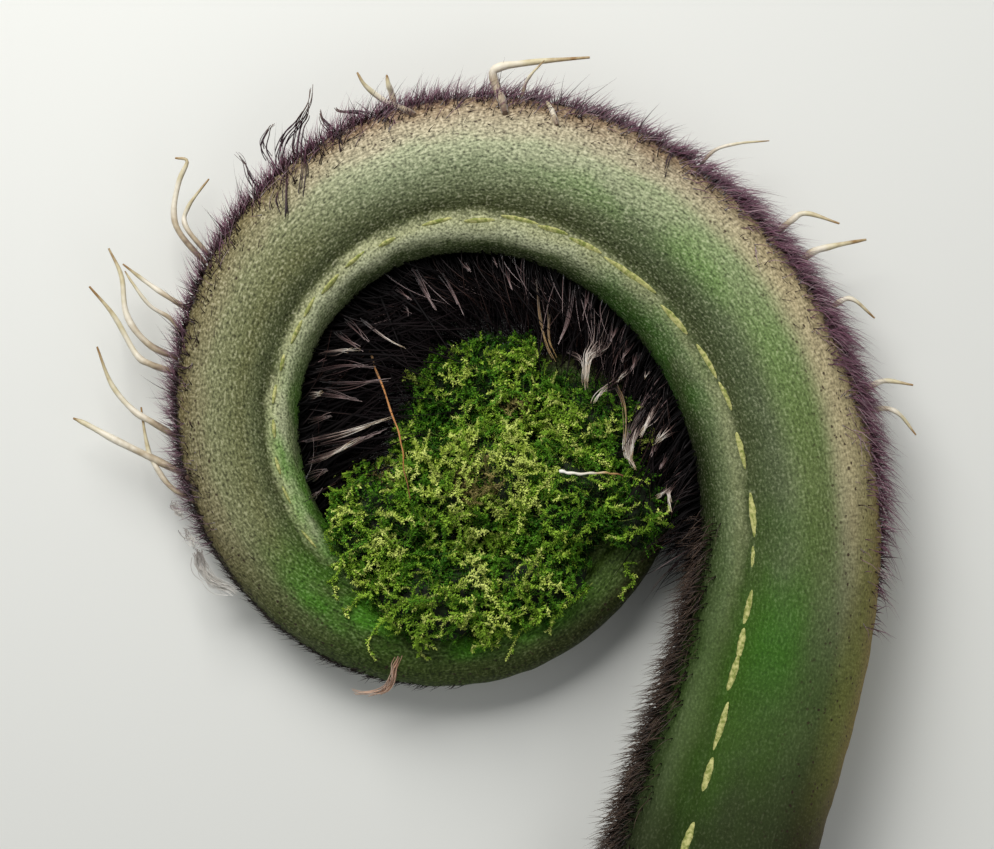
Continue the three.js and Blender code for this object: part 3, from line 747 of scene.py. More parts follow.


# The back's bristles stand in small tufts. They are purple with a pale bloom, longest and curved
# down on the stalk's outer side, and give way to a dark felt below the coil. The pale bristles on
# the outer side are partly pale hair and partly painted highlight.
TUFT_SHARE = 0.4
chance = np.random.default_rng(4)
tufts = (chance.uniform(size=len(fold)) < TUFT_SHARE) / TUFT_SHARE
back = tufts * covering(
    (12, 24, 36, 48), (1, 0.45, 0.1, 0), (30, 0), (42, 0.35), (58, 1), (80, 1), (92, 0.7), (124, 0.8),
    (134, 0.75), (160, 0.7), (170, 0))
right_side = along([(34, 0), (46, 1), (78, 1), (90, 0)], skin_station)
left_side = along([(128, 0), (140, 1)], skin_station)
flank = tufts * covering((20, 30, 46, 66), (0, 1, 0.4, 0), (44, 0), (60, 0.25), (80, 0.5), (100, 1),
                         (160, 1), (175, 0))
upper_left = np.interp(fold, (14, 34, 50), (1, 0.7, 0)) * tufts * along(
    [(84, 0), (92, 0.35), (104, 0.5), (114, 1), (134, 1), (146, 0.4), (158, 0)], skin_station)
felt = covering((16, 24), (1, 0), (150, 0), (162, 1), (186, 1), (200, 0))
purple = strand_material("purple_bristle", "#3f1f2c", "#74455a", "#94687b", sheen=0.3)
dark_purple = strand_material("dark_bristle", "#22110f", "#43262a", roughness=0.55)
# Pale bristles: partly pale hair and partly painted highlight on the outer side's fringe.
pale_purple = strand_material("weathered_bristle", "#6b4450", "#a98a92", "#c9b4b6", sheen=0.4)
brown_felt = strand_material("brown_felt", "#1a120e", "#3d2e26", roughness=0.8)
# Each coat: name, hair, covering, hairs on a square millimetre, length and its spread, thickness,
# segments, lean, wildness, clumping, clump size, curl and its wildness, seed. Lengths are in mm.
grow_coats("bristles", ["bristles_"], [
    ("bristles", purple, back,
     5.2, 2.2, 0.5, 0.075, 2, -0.2, 0.4, 3, 1.5, (-0.35, 0, 0), 0.3, 3),
    ("dark_bristles", dark_purple, back * (0.4 + left_side),
     2.6, 1.7, 0.5, 0.085, 2, -0.2, 0.45, 2.8, 1.3, (-0.3, 0, 0), 0.25, 17),
    ("weathered_bristles", pale_purple, back * (0.35 + right_side),
     1.5, 2.7, 0.5, 0.075, 3, -0.2, 0.5, 2.6, 2.4, (-0.95, 0, 0), 0.35, 29),
    ("curved_bristles", purple, back * right_side,
     1.8, 3.2, 0.35, 0.095, 3, -0.15, 0.35, 2.4, 2.2, (-0.9, -0.1, 0), 0.3, 41),
    ("flank_bristles", dark_purple, flank,
     0.8, 1.15, 0.6, 0.07, 2, -0.5, 0.7, 2.8, 2.5, (-0.3, 0, 0), 0.2, 53),
    ("wispy_bristles", dark_purple, upper_left,
     0.7, 2.9, 0.45, 0.095, 4, -0.15, 0.5, 3.4, 2.8, (-0.5, 0, 0), 0.5, 47),
    ("felted_back", brown_felt, felt,
     5, 1.1, 0.4, 0.07, 2, -1.2, 0.6, 1.6, 1.5, (-0.5, -0.2, 0), 0.4, 57),
])

# The hollow's hair, black at its roots, long and leaning back towards the foot. On the stalk below
# the coil it is shorter and browner. Its near black, and the long matted coats that fill the gap
# under the turns down to the floor, are partly painted shade in the hollow.
dark_hair = strand_material("dark_hollow_hair", "#030202", "#0c0708", "#1b1012", roughness=0.7,
                            gloss=0.15)
brown_hair = strand_material("brown_hollow_hair", "#080506", "#241513", "#5d4038", gloss=0.3)
# Pale-tipped hollow hair, which also serves as painted glints on the dark hair.
silver_hair = strand_material("silvered_hollow_hair", "#150d0e", "#6f5452", "#c9b0ac",
                              roughness=0.4, sheen=0.3)
stalk_brown = strand_material("brown_stalk_hair", "#150e0b", "#3d2c22", "#7a6453")
below = np.sin(skin_angle) < -0.1
inner_face = covering((150, 158), (0, 1), (34, 0), (52, 1), (176, 1), (196, 0)) * np.where(
    below, 1, np.interp(fold, (166, 174), (0, 1)))
under_face = below * covering((118, 128, 168), (0, 1, 1), (46, 0), (58, 1), (160, 1), (172, 0))
wide_gap = covering((128, 150), (0, 1), (118, 0), (130, 1), (160, 1), (170, 0))
glints = inner_face * along([(44, 0.3), (60, 1), (92, 1), (104, 0.35), (128, 0.4), (140, 0.8),
                             (160, 0.8), (176, 0.3)], skin_station)
inner_edge = covering((145, 158), (0, 1), (CUT_STATION, 0), (CUT_STATION + 3, 1), (40, 1), (46, 0))
HOLLOW_CURL = (-0.35, 0, -0.12)
grow_coats("dark_hair", ["hair_"], [
    # Long near-black coats, partly painted shade filling the hollow's gap above the floor.
    ("matted_hollow_hair", dark_hair, under_face,
     4.2, 11.5, 0.35, 0.24, 3, -0.3, 0.5, 1.2, 3, (-0.2, 0, 0.3), 0.25, 59),
    ("left_hollow_hair", dark_hair, wide_gap * (np.sin(skin_angle) < 0.1),
     3, 15.5, 0.25, 0.32, 4, -0.2, 0.35, 1.2, 3, (-0.1, 0, 0.12), 0.2, 73),
    ("hollow_hair", dark_hair, inner_face,
     3.6, 6.5, 0.4, 0.14, 4, -0.35, 0.3, 1.3, 3, HOLLOW_CURL, 0.2, 61),
    ("brown_hollow_hair", brown_hair, inner_face,
     0.9, 6.8, 0.4, 0.12, 5, -0.35, 0.3, 1.8, 2.4, HOLLOW_CURL, 0.3, 67),
    ("silvered_hollow_hair", silver_hair, glints * tufts,
     0.45, 6.4, 0.4, 0.11, 5, -0.35, 0.25, 2.2, 2, HOLLOW_CURL, 0.3, 71),
    ("stalk_hair", stalk_brown, inner_edge,
     3.4, 2.4, 0.45, 0.09, 3, -0.4, 0.5, 1.8, 2.4, (-0.4, 0, -0.1), 0.3, 83),
])

# The long bristles. A few hairs of the back grow five times as long as the rest, weather to white or
# straw and bend where they were pressed. A few others stay dark. Each is given by its root's station,
# its half width and its points out from the skin's edge and forward along the stalk.
WHITE_BRISTLES = [
    (104, 0.52, [(-2.7, 0.1), (-0.5, 0.8), (2.7, 2.1), (3.7, 1.3), (4.3, -0.9), (5.0, -4.2), (5.9, -9.8)]),
    (102.5, 0.2, [(-0.3, 0.3), (2.3, -0.2), (4.9, -2.0)]),
    (98.75, 0.3, [(-3.3, -0.1), (-1.5, 1.0), (0.0, 2.1)]),
    (113.25, 0.38, [(-1.8, -0.1), (-0.1, 1.5), (1.3, 3.3), (3.5, 5.2), (5.3, 5.9)]),
    (115, 0.36, [(0.1, -0.1), (1.9, -0.2), (3.3, -0.1), (4.4, -0.2)]),
    (138.5, 0.35, [(0.4, 0.6), (5.1, -1.1), (7.2, -3.1), (8.5, -6.7), (8.8, -9.4), (10.3, -9.0)]),
    (138, 0.3, [(0.4, 0.2), (4.9, -1.5), (5.9, -3.6), (5.4, -8.1)]),
    (144, 0.3, [(0.2, -0.3), (5.6, -1.6), (9.9, -3.0)]),
    (149, 0.38, [(0.2, -0.4), (4.2, -1.6), (7.5, -4.7), (9.0, -9.4), (11.2, -12.6)]),
    (150, 0.38, [(0.2, 0.1), (3.5, -0.5), (5.6, -1.6), (9.0, -6.0), (12.4, -9.1)]),
    (156, 0.38, [(0.2, 0.6), (3.1, -1.4), (5.5, -3.1), (8.0, -6.5), (9.5, -11.3)]),
    (161, 0.42, [(-0.6, -0.3), (3.7, -3.8), (7.9, -7.2), (10.9, -9.8), (12.2, -10.8)]),
    (163, 0.32, [(-0.3, 0.3), (2.2, -2.4), (3.4, -6.0), (3.5, -8.6), (2.9, -13.0)]),
    (84, 0.2, [(-0.4, -0.2), (2.9, -0.5), (5.5, -2.5), (8.0, -5.3)]),
    (74, 0.36, [(-0.3, -0.4), (2.8, -0.3), (5.0, -0.8), (7.2, -4.4)]),
    (70, 0.42, [(-0.3, -0.2), (2.6, 0.2), (4.9, -0.5), (9.1, -2.3)]),
    (64, 0.32, [(-0.3, 0.2), (2.3, 0.9), (3.9, 0.4), (5.3, -2.9)]),
    (55, 0.36, [(-0.3, 0.3), (1.6, 1.1), (3.7, 1.3), (6.7, -0.1)]),
    (53, 0.3, [(-0.3, 0.5), (2.6, 0.6), (4.3, -0.7), (5.6, -3.5)]),
    (146.5, 0.24, [(0.3, -0.3), (2.2, -1.9), (5.0, -2.8), (7.8, -5.0), (9.1, -6.2)]),
]
DARK_BRISTLES = [
    (127, 0.26, [(-0.4, 0.8), (1.7, 0.1), (3.2, -2.2), (3.5, -4.3), (3.9, -5.6), (4.6, -7.6), (6.1, -9.3)]),
    (125, 0.22, [(-0.4, 0.5), (0.9, 0.1), (3.1, -1.9), (3.7, -3.4), (4.8, -4.6)]),
    (127.25, 0.2, [(-0.4, 0.6), (3.9, 0.1), (5.0, -1.6), (5.1, -2.8)]),
    (121.25, 0.22, [(-2.6, -0.1), (-0.6, -0.3), (2.2, 0.4), (3.7, 0.2)]),
    (117, 0.2, [(-0.4, -0.1), (1.1, 1.5), (2.0, 3.9), (2.9, 4.5)]),
    (130.25, 0.16, [(-5.6, 0.0), (-3.8, -1.6), (-1.0, -4.1), (0.6, -5.0)]),
    (130.25, 0.13, [(-4.4, -0.1), (-2.7, -0.9), (-1.8, -2.1)]),
    (127.5, 0.16, [(-5.0, 0.0), (-1.6, -2.9), (0.6, -3.6)]),
    (130, 0.18, [(-0.4, 0.4), (2.0, 0.0), (4.0, -0.8), (5.5, -1.0)]),
    (86.25, 0.14, [(-4.0, 0.1), (-1.4, 0.7), (0.2, 0.5)]),
    (81.75, 0.14, [(-3.2, -0.1), (-0.7, 0.0), (0.5, -0.6)]),
]
LONG_POINTS = 24
LONG_RISE = (-0.6, 2.2)
LONG_SAG = 0.25
LONG_TAPER = 0.6
BUNDLE_LOOSE, BUNDLE_JITTER = 0.16, 0.06
BUNDLE_CLOSING = 1.3
BUNDLE_THICKNESS = (0.7, 1.3)
BUNDLE_TIP = 0.35
rise_angles = np.radians(np.arange(180, -1, -2))
rise_across, rise_high = (part(rise_angles) * section_reach(rise_angles) for part in (np.cos, np.sin))


def rounded_line(corners, count):
    """A smooth line through the corners, as so many points."""
    corners = np.asarray(corners, float)
    ends = np.concatenate([[2 * corners[0] - corners[1]], corners, [2 * corners[-1] - corners[-2]]])
    share = np.linspace(0, len(corners) - 1, count)
    leg = np.minimum(share.astype(int), len(corners) - 2)
    t = (share - leg)[:, None]
    a, b, c, d = (ends[leg + i] for i in range(4))
    return 0.5 * (2 * b + (c - a) * t + (2 * a - 5 * b + 4 * c - d) * t ** 2
                  + (3 * b - a - 3 * c + d) * t ** 3)


def sweep_strands(name, slot, section, material, strands):
    """A piece swept along many lines of points. Each strand is its points and its half widths."""
    lines, widths = zip(*strands)
    starts = np.concatenate([[0], np.cumsum([len(one) for one in lines])])
    edges = [(i, i + 1) for a, b in zip(starts[:-1], starts[1:]) for i in range(a, b - 1)]
    guides = new_mesh(name + "_lines", np.concatenate(lines), edges=edges)
    set_attributes(guides, half=np.concatenate(widths) * MM,
                   reach=np.concatenate([np.linspace(0, 1, len(one)) for one in lines]))
    piece = grow(name, guides, strand_sweep, Section=section, Material=material, Relief_Size=1.0)
    drop_attributes(piece, "reach")
    finish_piece(piece, slot)


def bristle_line(station, half, corners):
    """One long bristle's points and half widths. Over the skin it lies just clear of it."""
    middle, forward, out, stalk_half = place_at(np.float64(station))
    flat = rounded_line(corners, LONG_POINTS)
    share = np.linspace(0, 1, LONG_POINTS)
    points = middle + (stalk_half + flat[:, :1]) * out + flat[:, 1:] * forward
    over = np.interp(1 + flat[:, 0] / stalk_half, rise_across, rise_high, right=0) * stalk_half
    rise = chance.uniform(*LONG_RISE) * share ** 1.4 + LONG_SAG * np.sin(share * 9 + station)
    points[:, 2] += np.maximum(over + (over > 0) * half, rise)
    widths = half * (0.8 + 0.35 * np.sin(math.pi * share ** 0.6)) * (1 - LONG_TAPER * share ** 4)
    return points, widths * (1 + 0.08 * np.sin(share * 21 + station))


def hair_bundle(path, hairs, spread, half):
    """Hairs that lie together: spread at the root and stuck together at the tip."""
    share = np.linspace(0, 1, len(path))[:, None]
    bundle = []
    for _ in range(hairs):
        aside = chance.normal(0, 0.5, 3) * spread * (1 - share) ** BUNDLE_CLOSING
        loose = chance.normal(0, BUNDLE_LOOSE, 3) * np.sin(share * chance.uniform(3, 6))
        loose = loose + chance.normal(0, BUNDLE_JITTER, 3)
        kept = slice(chance.integers(0, len(path) // 3), len(path) - chance.integers(0, len(path) // 3))
        widths = half * chance.uniform(*BUNDLE_THICKNESS) * np.linspace(1, BUNDLE_TIP, len(path))
        bundle.append(((path + aside + loose)[kept], widths[kept]))
    return bundle


def round_section(sides):
    """The section of a round strand, with so many sides."""
    turns = np.arange(sides) * 2 * math.pi / sides
    return section_object(f"{sides}_sided", np.column_stack([np.cos(turns), np.sin(turns)]))


strand_sweep = sweep_tree("swept_strands", "MINIMUM_TWIST")
six_sided, three_sided = round_section(6), round_section(3)
straw = strand_material("weathered_straw_bristle", "#5e4638", "#b8a78a", "#e9e0cc", "#d2c6a0",
                        "#94713f", sheen=0.3)
umber = strand_material("umber_bristle", "#24161a", "#4d3540", "#6b5548")
DARK_HAIRS = 6
DARK_SPREAD, DARK_HALF = 3, 0.55
chance = np.random.default_rng(8)
sweep_strands("long_bristles", "bristles", six_sided, straw,
              [bristle_line(*row) for row in WHITE_BRISTLES])
strands = []
for station, half, corners in DARK_BRISTLES:
    path, _ = bristle_line(station, half, corners)
    path[:, 2] += half
    strands += hair_bundle(path, DARK_HAIRS, half * DARK_SPREAD, half * DARK_HALF)
sweep_strands("dark_long_bristles", "bristles", three_sided, umber, strands)

# The pointed tufts. In the hollow the ends of the hair stick together in points that hang onto the
# moss, palest on the right. Some short pale ones are painted glints on the dark hair. Each is given
# by its root's spread, its hairs and its points from above.
HOLLOW_TUFTS = {
    "pale_tufts": [
        (0.7, 14, [(-23.2, 9.2), (-18.0, 10.3), (-12.5, 12.2)]),
        (1.5, 40, [(19.3, 14.6), (17.3, 10.8), (16.7, 7.6), (17.5, 5.8)]),
        (0.9, 18, [(18.9, 13.8), (17.5, 9.8), (16.9, 6.6)]),
        (0.6, 9, [(16.0, 16.9), (13.7, 15.6), (12.3, 13.8)]),
        (1.8, 26, [(13.7, 24.6), (13.0, 21.2), (11.7, 19.6), (11.3, 15.6)]),
        (0.6, 8, [(9.3, 20.2), (10.9, 19.2), (11.3, 16.2)]),
        (0.3, 6, [(17.0, 18.2), (15.3, 16.6)]),
        (0.3, 5, [(19.3, 18.2), (18.7, 16.9)]),
        (0.8, 12, [(22.3, 11.2), (19.7, 8.8)]),
        (0.9, 14, [(20.7, 14.2), (19.3, 11.8), (18.0, 9.6)]),
        (0.5, 12, [(22.7, 4.4), (21.7, 2.8), (22.0, 0.4)]),
        (0.5, 8, [(22.3, 3.4), (20.0, 2.2)]),
        (0.4, 6, [(-17.2, 24.9), (-13.6, 22.1), (-10.8, 20.6)]),
        (0.6, 8, [(-21.6, 20.1), (-16.5, 20.6)]),
        (0.6, 8, [(-23.2, 14.9), (-20.8, 15.1)]),
        (0.7, 10, [(-23.6, 6.6), (-19.8, 7.8), (-16.5, 9.6)]),
    ],
    "golden_hairs": [
        (0.3, 5, [(5.3, 29.3), (5.7, 24.3), (6.5, 21.2), (7.7, 18.9)]),
        (0.3, 5, [(6.9, 25.9), (6.9, 21.9), (7.7, 19.6)]),
        (0.3, 6, [(15.3, 16.2), (16.3, 13.6), (16.2, 7.8)]),
    ],
    "rosy_tufts": [
        (0.9, 12, [(-22.2, 7.8), (-18.0, 8.9), (-13.2, 10.7)]),
        (0.9, 10, [(-22.2, 17.9), (-18.6, 18.6), (-14.8, 18.2)]),
        (0.8, 10, [(-21.6, 16.6), (-17.3, 16.4), (-12.8, 16.9)]),
        (0.8, 9, [(-22.8, 15.2), (-19.8, 14.8), (-16.2, 14.2)]),
        (0.7, 9, [(-9.8, 30.7), (-8.6, 28.1), (-7.1, 25.3)]),
        (0.7, 9, [(-6.1, 29.7), (-4.8, 27.2), (-3.8, 24.9)]),
        (0.6, 6, [(-12.5, 28.3), (-10.1, 26.6)]),
        (0.5, 5, [(-3.8, 31.7), (-2.8, 29.9)]),
        (0.4, 4, [(-0.1, 32.3), (0.4, 30.7)]),
        (0.5, 5, [(1.4, 30.9), (2.3, 27.6)]),
        (0.5, 6, [(9.9, 28.9), (9.3, 24.3), (7.9, 21.2)]),
        (0.5, 5, [(12.0, 28.7), (11.0, 24.1)]),
        (0.5, 5, [(-11.5, 26.2), (-10.2, 24.6)]),
        (0.6, 6, [(-19.8, 23.1), (-16.1, 20.3)]),
        (0.5, 5, [(-18.6, 24.6), (-15.2, 21.2)]),
        (0.6, 8, [(20.8, 9.3), (19.3, 7.3)]),
        (0.6, 8, [(21.8, 7.8), (20.4, 5.6)]),
        (0.6, 8, [(17.2, 21.8), (15.8, 19.1)]),
        (0.5, 7, [(18.3, 20.3), (17.0, 17.8)]),
        (0.6, 7, [(15.3, 24.1), (14.4, 21.2)]),
        (0.6, 7, [(-23.6, 4.3), (-20.5, 5.6)]),
        (0.6, 7, [(-23.5, 11.8), (-19.8, 12.4)]),
        (0.5, 6, [(-23.3, 1.8), (-21.1, 3.3)]),
    ],
}
TUFT_HEIGHTS = (10, 14)
TUFT_POINTS = 12
TUFT_HALF = 0.07
TUFT_COLOURS = {
    "pale_tufts": ("#1c1212", "#5f4842", "#bda99d", "#f0e8dc", "#b59a78"),
    "golden_hairs": ("#2a1c12", "#7a5c34", "#a08250", "#8a6c3e"),
    "rosy_tufts": ("#120a0b", "#3a2221", "#745956", "#b29d9a"),
}
for name, rows in HOLLOW_TUFTS.items():
    strands = []
    for spread, hairs, corners in rows:
        path = np.column_stack([rounded_line(corners, TUFT_POINTS),
                                np.linspace(*TUFT_HEIGHTS, TUFT_POINTS)])
        strands += hair_bundle(path, hairs, spread, TUFT_HALF)
    material = strand_material(name, *TUFT_COLOURS[name], roughness=0.4, sheen=0.2)
    sweep_strands(name, "dark_hair", three_sided, material, strands)

# Wool. Low on the coil's left a few old hairs have split and bleached into white fluff, which clings
# along the edge of the felt. Each tuft is its hairs and its points.
WOOLLY_TUFTS = [
    (46, [(-37.1, -4.8, 8), (-36.7, -6.4, 8), (-35.8, -7.9, 8), (-34.3, -8.9, 7.5), (-32.7, -9.7, 7)]),
    (16, [(-40.2, 1.2, 8), (-39.7, 0.4, 8), (-39, -0.2, 8)]),
    (12, [(-38.6, -2.2, 8), (-37.9, -3.2, 8), (-37.3, -4, 8)]),
]
WOOL_SPREAD = 0.55
WOOL_HALF = 0.05
WOOL_CURL = 0.22
WOOL_TURNS = (6, 14)
strands = []
for hairs, corners in WOOLLY_TUFTS:
    for _ in range(hairs):
        path = rounded_line(corners, LONG_POINTS) + chance.normal(0, WOOL_SPREAD / 2, 3)
        turns = np.linspace(0, chance.uniform(*WOOL_TURNS), LONG_POINTS)[:, None] + chance.uniform(0, 6, 3)
        strands.append((path + WOOL_CURL * np.sin(turns), np.full(LONG_POINTS, WOOL_HALF)))
wool = strand_material("bleached_wool", "#8f857c", "#d8d2c8", "#ece8e0", roughness=0.8, sheen=0.5)
sweep_strands("woolly_tufts", "bristles", three_sided, wool, strands)

# The moss. A feathery moss has settled in the coil's middle and hangs over its inner turn. Each
# cushion has a near-black mat of old shoots, partly painted shade in the gaps between live shoots.
# Live shoots arch out of it with side branches like a feather, all set with tiny pointed leaves,
# deep green below and yellow-green where they are young, which is partly painted shade and light.
# The last row is the moss that sprawls between the upper cushion and the left one. Each cushion is
# its middle from the foot of the stalk, its half widths and its top.
MOSS_FLOOR = 1.2
CUSHIONS = [
    (-27.8, 57, 11.4, 8.2, 11.5), (-15.3, 52.6, 9, 8.4, 12), (-9.4, 42.7, 5, 6.8, 13),
    (-29.1, 46.3, 10.5, 8.4, 15.5), (-19.1, 43.9, 9, 8.4, 14.5), (-41.6, 40.1, 7.2, 8.8, 13.5),
    (-34.1, 31.4, 10.5, 7, 15), (-22.2, 34, 8.4, 6.4, 13.5), (-35.9, 50.1, 4.6, 5.4, 11),
]
MAT_SHARE = 0.84
MAT_LUMP = 0.09
cushions = [
    (np.array([FOOT[0] + x, FOOT[1] + y, (top + MOSS_FLOOR) / 2]),
     np.array([wide, deep, (top - MOSS_FLOOR) / 2])) for x, y, wide, deep, top in CUSHIONS]
mats = bmesh.new()
for middle, half in cushions:
    for vert in bmesh.ops.create_icosphere(mats, subdivisions=4, radius=1.0)["verts"]:
        on = np.array(vert.co)
        lump = math.sin(7 * on[0] + half[0]) * math.sin(7 * on[1] + half[1]) * math.cos(6 * on[2])
        vert.co = (middle + on * (MAT_SHARE * (1 - MAT_LUMP * (1 - lump))) * half) * MM
moss_mats = shaped_object("moss_mats", mats)
# The mat's near black is partly painted shade between the shoots.
moss_mats.data.materials.append(
    mottled_material("old_moss_mat", "#0a0f05", "#1d2c0c", 0.8, Roughness=0.95))
finish_piece(moss_mats, "moss", "moss_")

# The under layer of shoots and the upper one: shoots on a square millimetre, depth in the cushion,
# length, waves, branches' length, leaves' length and spacing, and lightness, which paints shade on
# the under layer and on the deeper shoots.
MOSS_LAYERS = [
    (0.75, (0.6, 0.78), (3, 6), (5, 12), (0.9, 2.0), (0.3, 0.5), 0.14, -1.0),
    (0.55, (0.8, 0.97), (3.4, 7.2), (8, 20), (0.5, 1.3), (0.4, 0.66), 0.1, 0.4),
]
LOWEST_SHOOT = 0.3
SHOOT_POINTS = 16
STANDING = 0.75
BOW = 0.85
BRANCH_POINTS = 4
BRANCH_EVERY = 2
BRANCH_SHORTER = 0.65
BRANCH_AHEAD = 0.8
BRANCH_BEND, BRANCH_DROOP = 0.4, 0.25
WAVE = 0.3
MOSS_EDGE = [
    (-12.3, 17.8), (-5.5, 20.8), (0.8, 22.4), (4.5, 22.1), (9.5, 19.3), (13.9, 16.4), (17.0, 10.6),
    (20.2, 5.8), (23.0, 1.8), (25.8, -1.7), (20.8, -3.2), (18.3, -4.4), (13.3, -4.7), (11.4, -8.2),
    (8.9, -12.6), (3.3, -16.3), (-1.7, -17.6), (-11.7, -13.4), (-18.0, -10.1), (-21.5, -6.3),
    (-21.2, 1.8), (-20.1, 5.1), (-14.8, 6.6), (-12.7, 10.6),
]
# Dark pits between the shoots, with their width. Only the under layer, in painted shade, grows there.
PITS = [
    (-17.5, -3.6, 1.6), (12.7, 3.2, 2.2), (-8.5, -8.2, 2), (1.9, -7.6, 2), (7.9, -1.9, 1.8),
    (4.9, 9.3, 1.6), (18.3, 1.2, 2), (-9.2, 1.8, 1.5), (-3, -5.7, 1.4), (-10.8, 14.6, 1.5),
    (13.3, -3.9, 2), (2.5, 17.5, 1.5), (-14.5, 0.5, 1.2), (9.5, 15.8, 1.3), (-5.2, 11.8, 1.3),
    (4.6, -12.2, 1.4),
]
chance = np.random.default_rng(11)
near_places = place_at(line[::4, 0])


def stalk_frame(points):
    """How far out and how high points are beside the stalk, and its half width and height there."""
    middle, _, out, half = near_places
    near = np.argmin(np.linalg.norm(points[:, None, :2] - middle[None, :, :2], axis=2), axis=1)
    offset = points - middle[near]
    return (offset * out[near]).sum(axis=1), offset[:, 2], half[near], middle[near][:, 2]


def in_outline(point, outline):
    """Whether a point lies inside a closed outline, as seen from above."""
    inside = False
    for (ax, ay), (bx, by) in zip(outline, outline[1:] + outline[:1]):
        if (ay > point[1]) != (by > point[1]) and point[0] < ax + (bx - ax) * (point[1] - ay) / (by - ay):
            inside = not inside
    return inside


def in_spots(point, spots):
    """Whether a point lies in one of the round spots, as seen from above."""
    return any(math.hypot(point[0] - x, point[1] - y) < wide for x, y, wide in spots)


def unit(vectors):
    """The vectors at length 1."""
    return vectors / np.linalg.norm(vectors, axis=-1, keepdims=True)


def feather(main, reaches_from):
    """A shoot's lines: its stem, and branches on alternate sides that get shorter to its tip."""
    lines = [main]
    forward = unit(np.gradient(main, axis=0))
    side = unit(np.cross(forward, UP + chance.normal(0, 0.25, 3)))
    share = np.linspace(0, 1, BRANCH_POINTS)[:, None]
    for k, at in enumerate(range(1, len(main) - 1, BRANCH_EVERY)):
        reach = chance.uniform(*reaches_from) * (1 - BRANCH_SHORTER * at / len(main))
        hand = 1 if k % 2 else -1
        way = unit(forward[at] * BRANCH_AHEAD + side[at] * hand + chance.normal(0, 0.2, 3))
        bend = (forward[at] * BRANCH_BEND - UP * BRANCH_DROOP) * reach
        lines.append(main[at] + way * reach * share + bend * share ** 2)
    return lines


shoots = []
for middle, size in cushions:
    for layer in MOSS_LAYERS:
        per_mm2, depths, lengths, waves, branches, _, _, light = layer
        for _ in range(round(per_mm2 * math.pi * size[0] * size[1])):
            heading = chance.uniform(0, 2 * math.pi)
            rise = chance.uniform(0.05, 1)
            level = math.sqrt(1 - rise ** 2)
            on = np.array([level * math.cos(heading), level * math.sin(heading), rise])
            depth = chance.uniform(*depths)
            outward = unit(on / size)
            creep = unit(np.cross(outward, chance.normal(0, 1, 3)))
            length = chance.uniform(*lengths) * (0.6 + 0.4 * rise)
            share = np.linspace(0, 1, SHOOT_POINTS)[:, None]
            swing = np.cross(outward, creep) * chance.normal(0, 0.35)
            main = (on * size * depth + middle + unit(outward * STANDING + creep) * length * share
                    + (swing - outward * BOW * STANDING) * length * share ** 2)
            main += WAVE * share ** 0.5 * np.sin(
                share * chance.uniform(*waves, 3) + chance.uniform(0, 6, 3))
            lines = feather(main, branches)
            out, high, half, _ = stalk_frame(np.concatenate(lines))
            tip = main[SHOOT_POINTS // 2]
            if layer is MOSS_LAYERS[1] and in_spots(tip, PITS):
                continue
            clear = np.hypot(out, high) - section_reach(np.arctan2(high, out)) * half
            if clear.min() > 0 and main[:, 2].min() > LOWEST_SHOOT and in_outline(main[-1], MOSS_EDGE):
                shoots.append((lines, tip, layer, light + 6 * (depth - sum(depths) / 2), None))

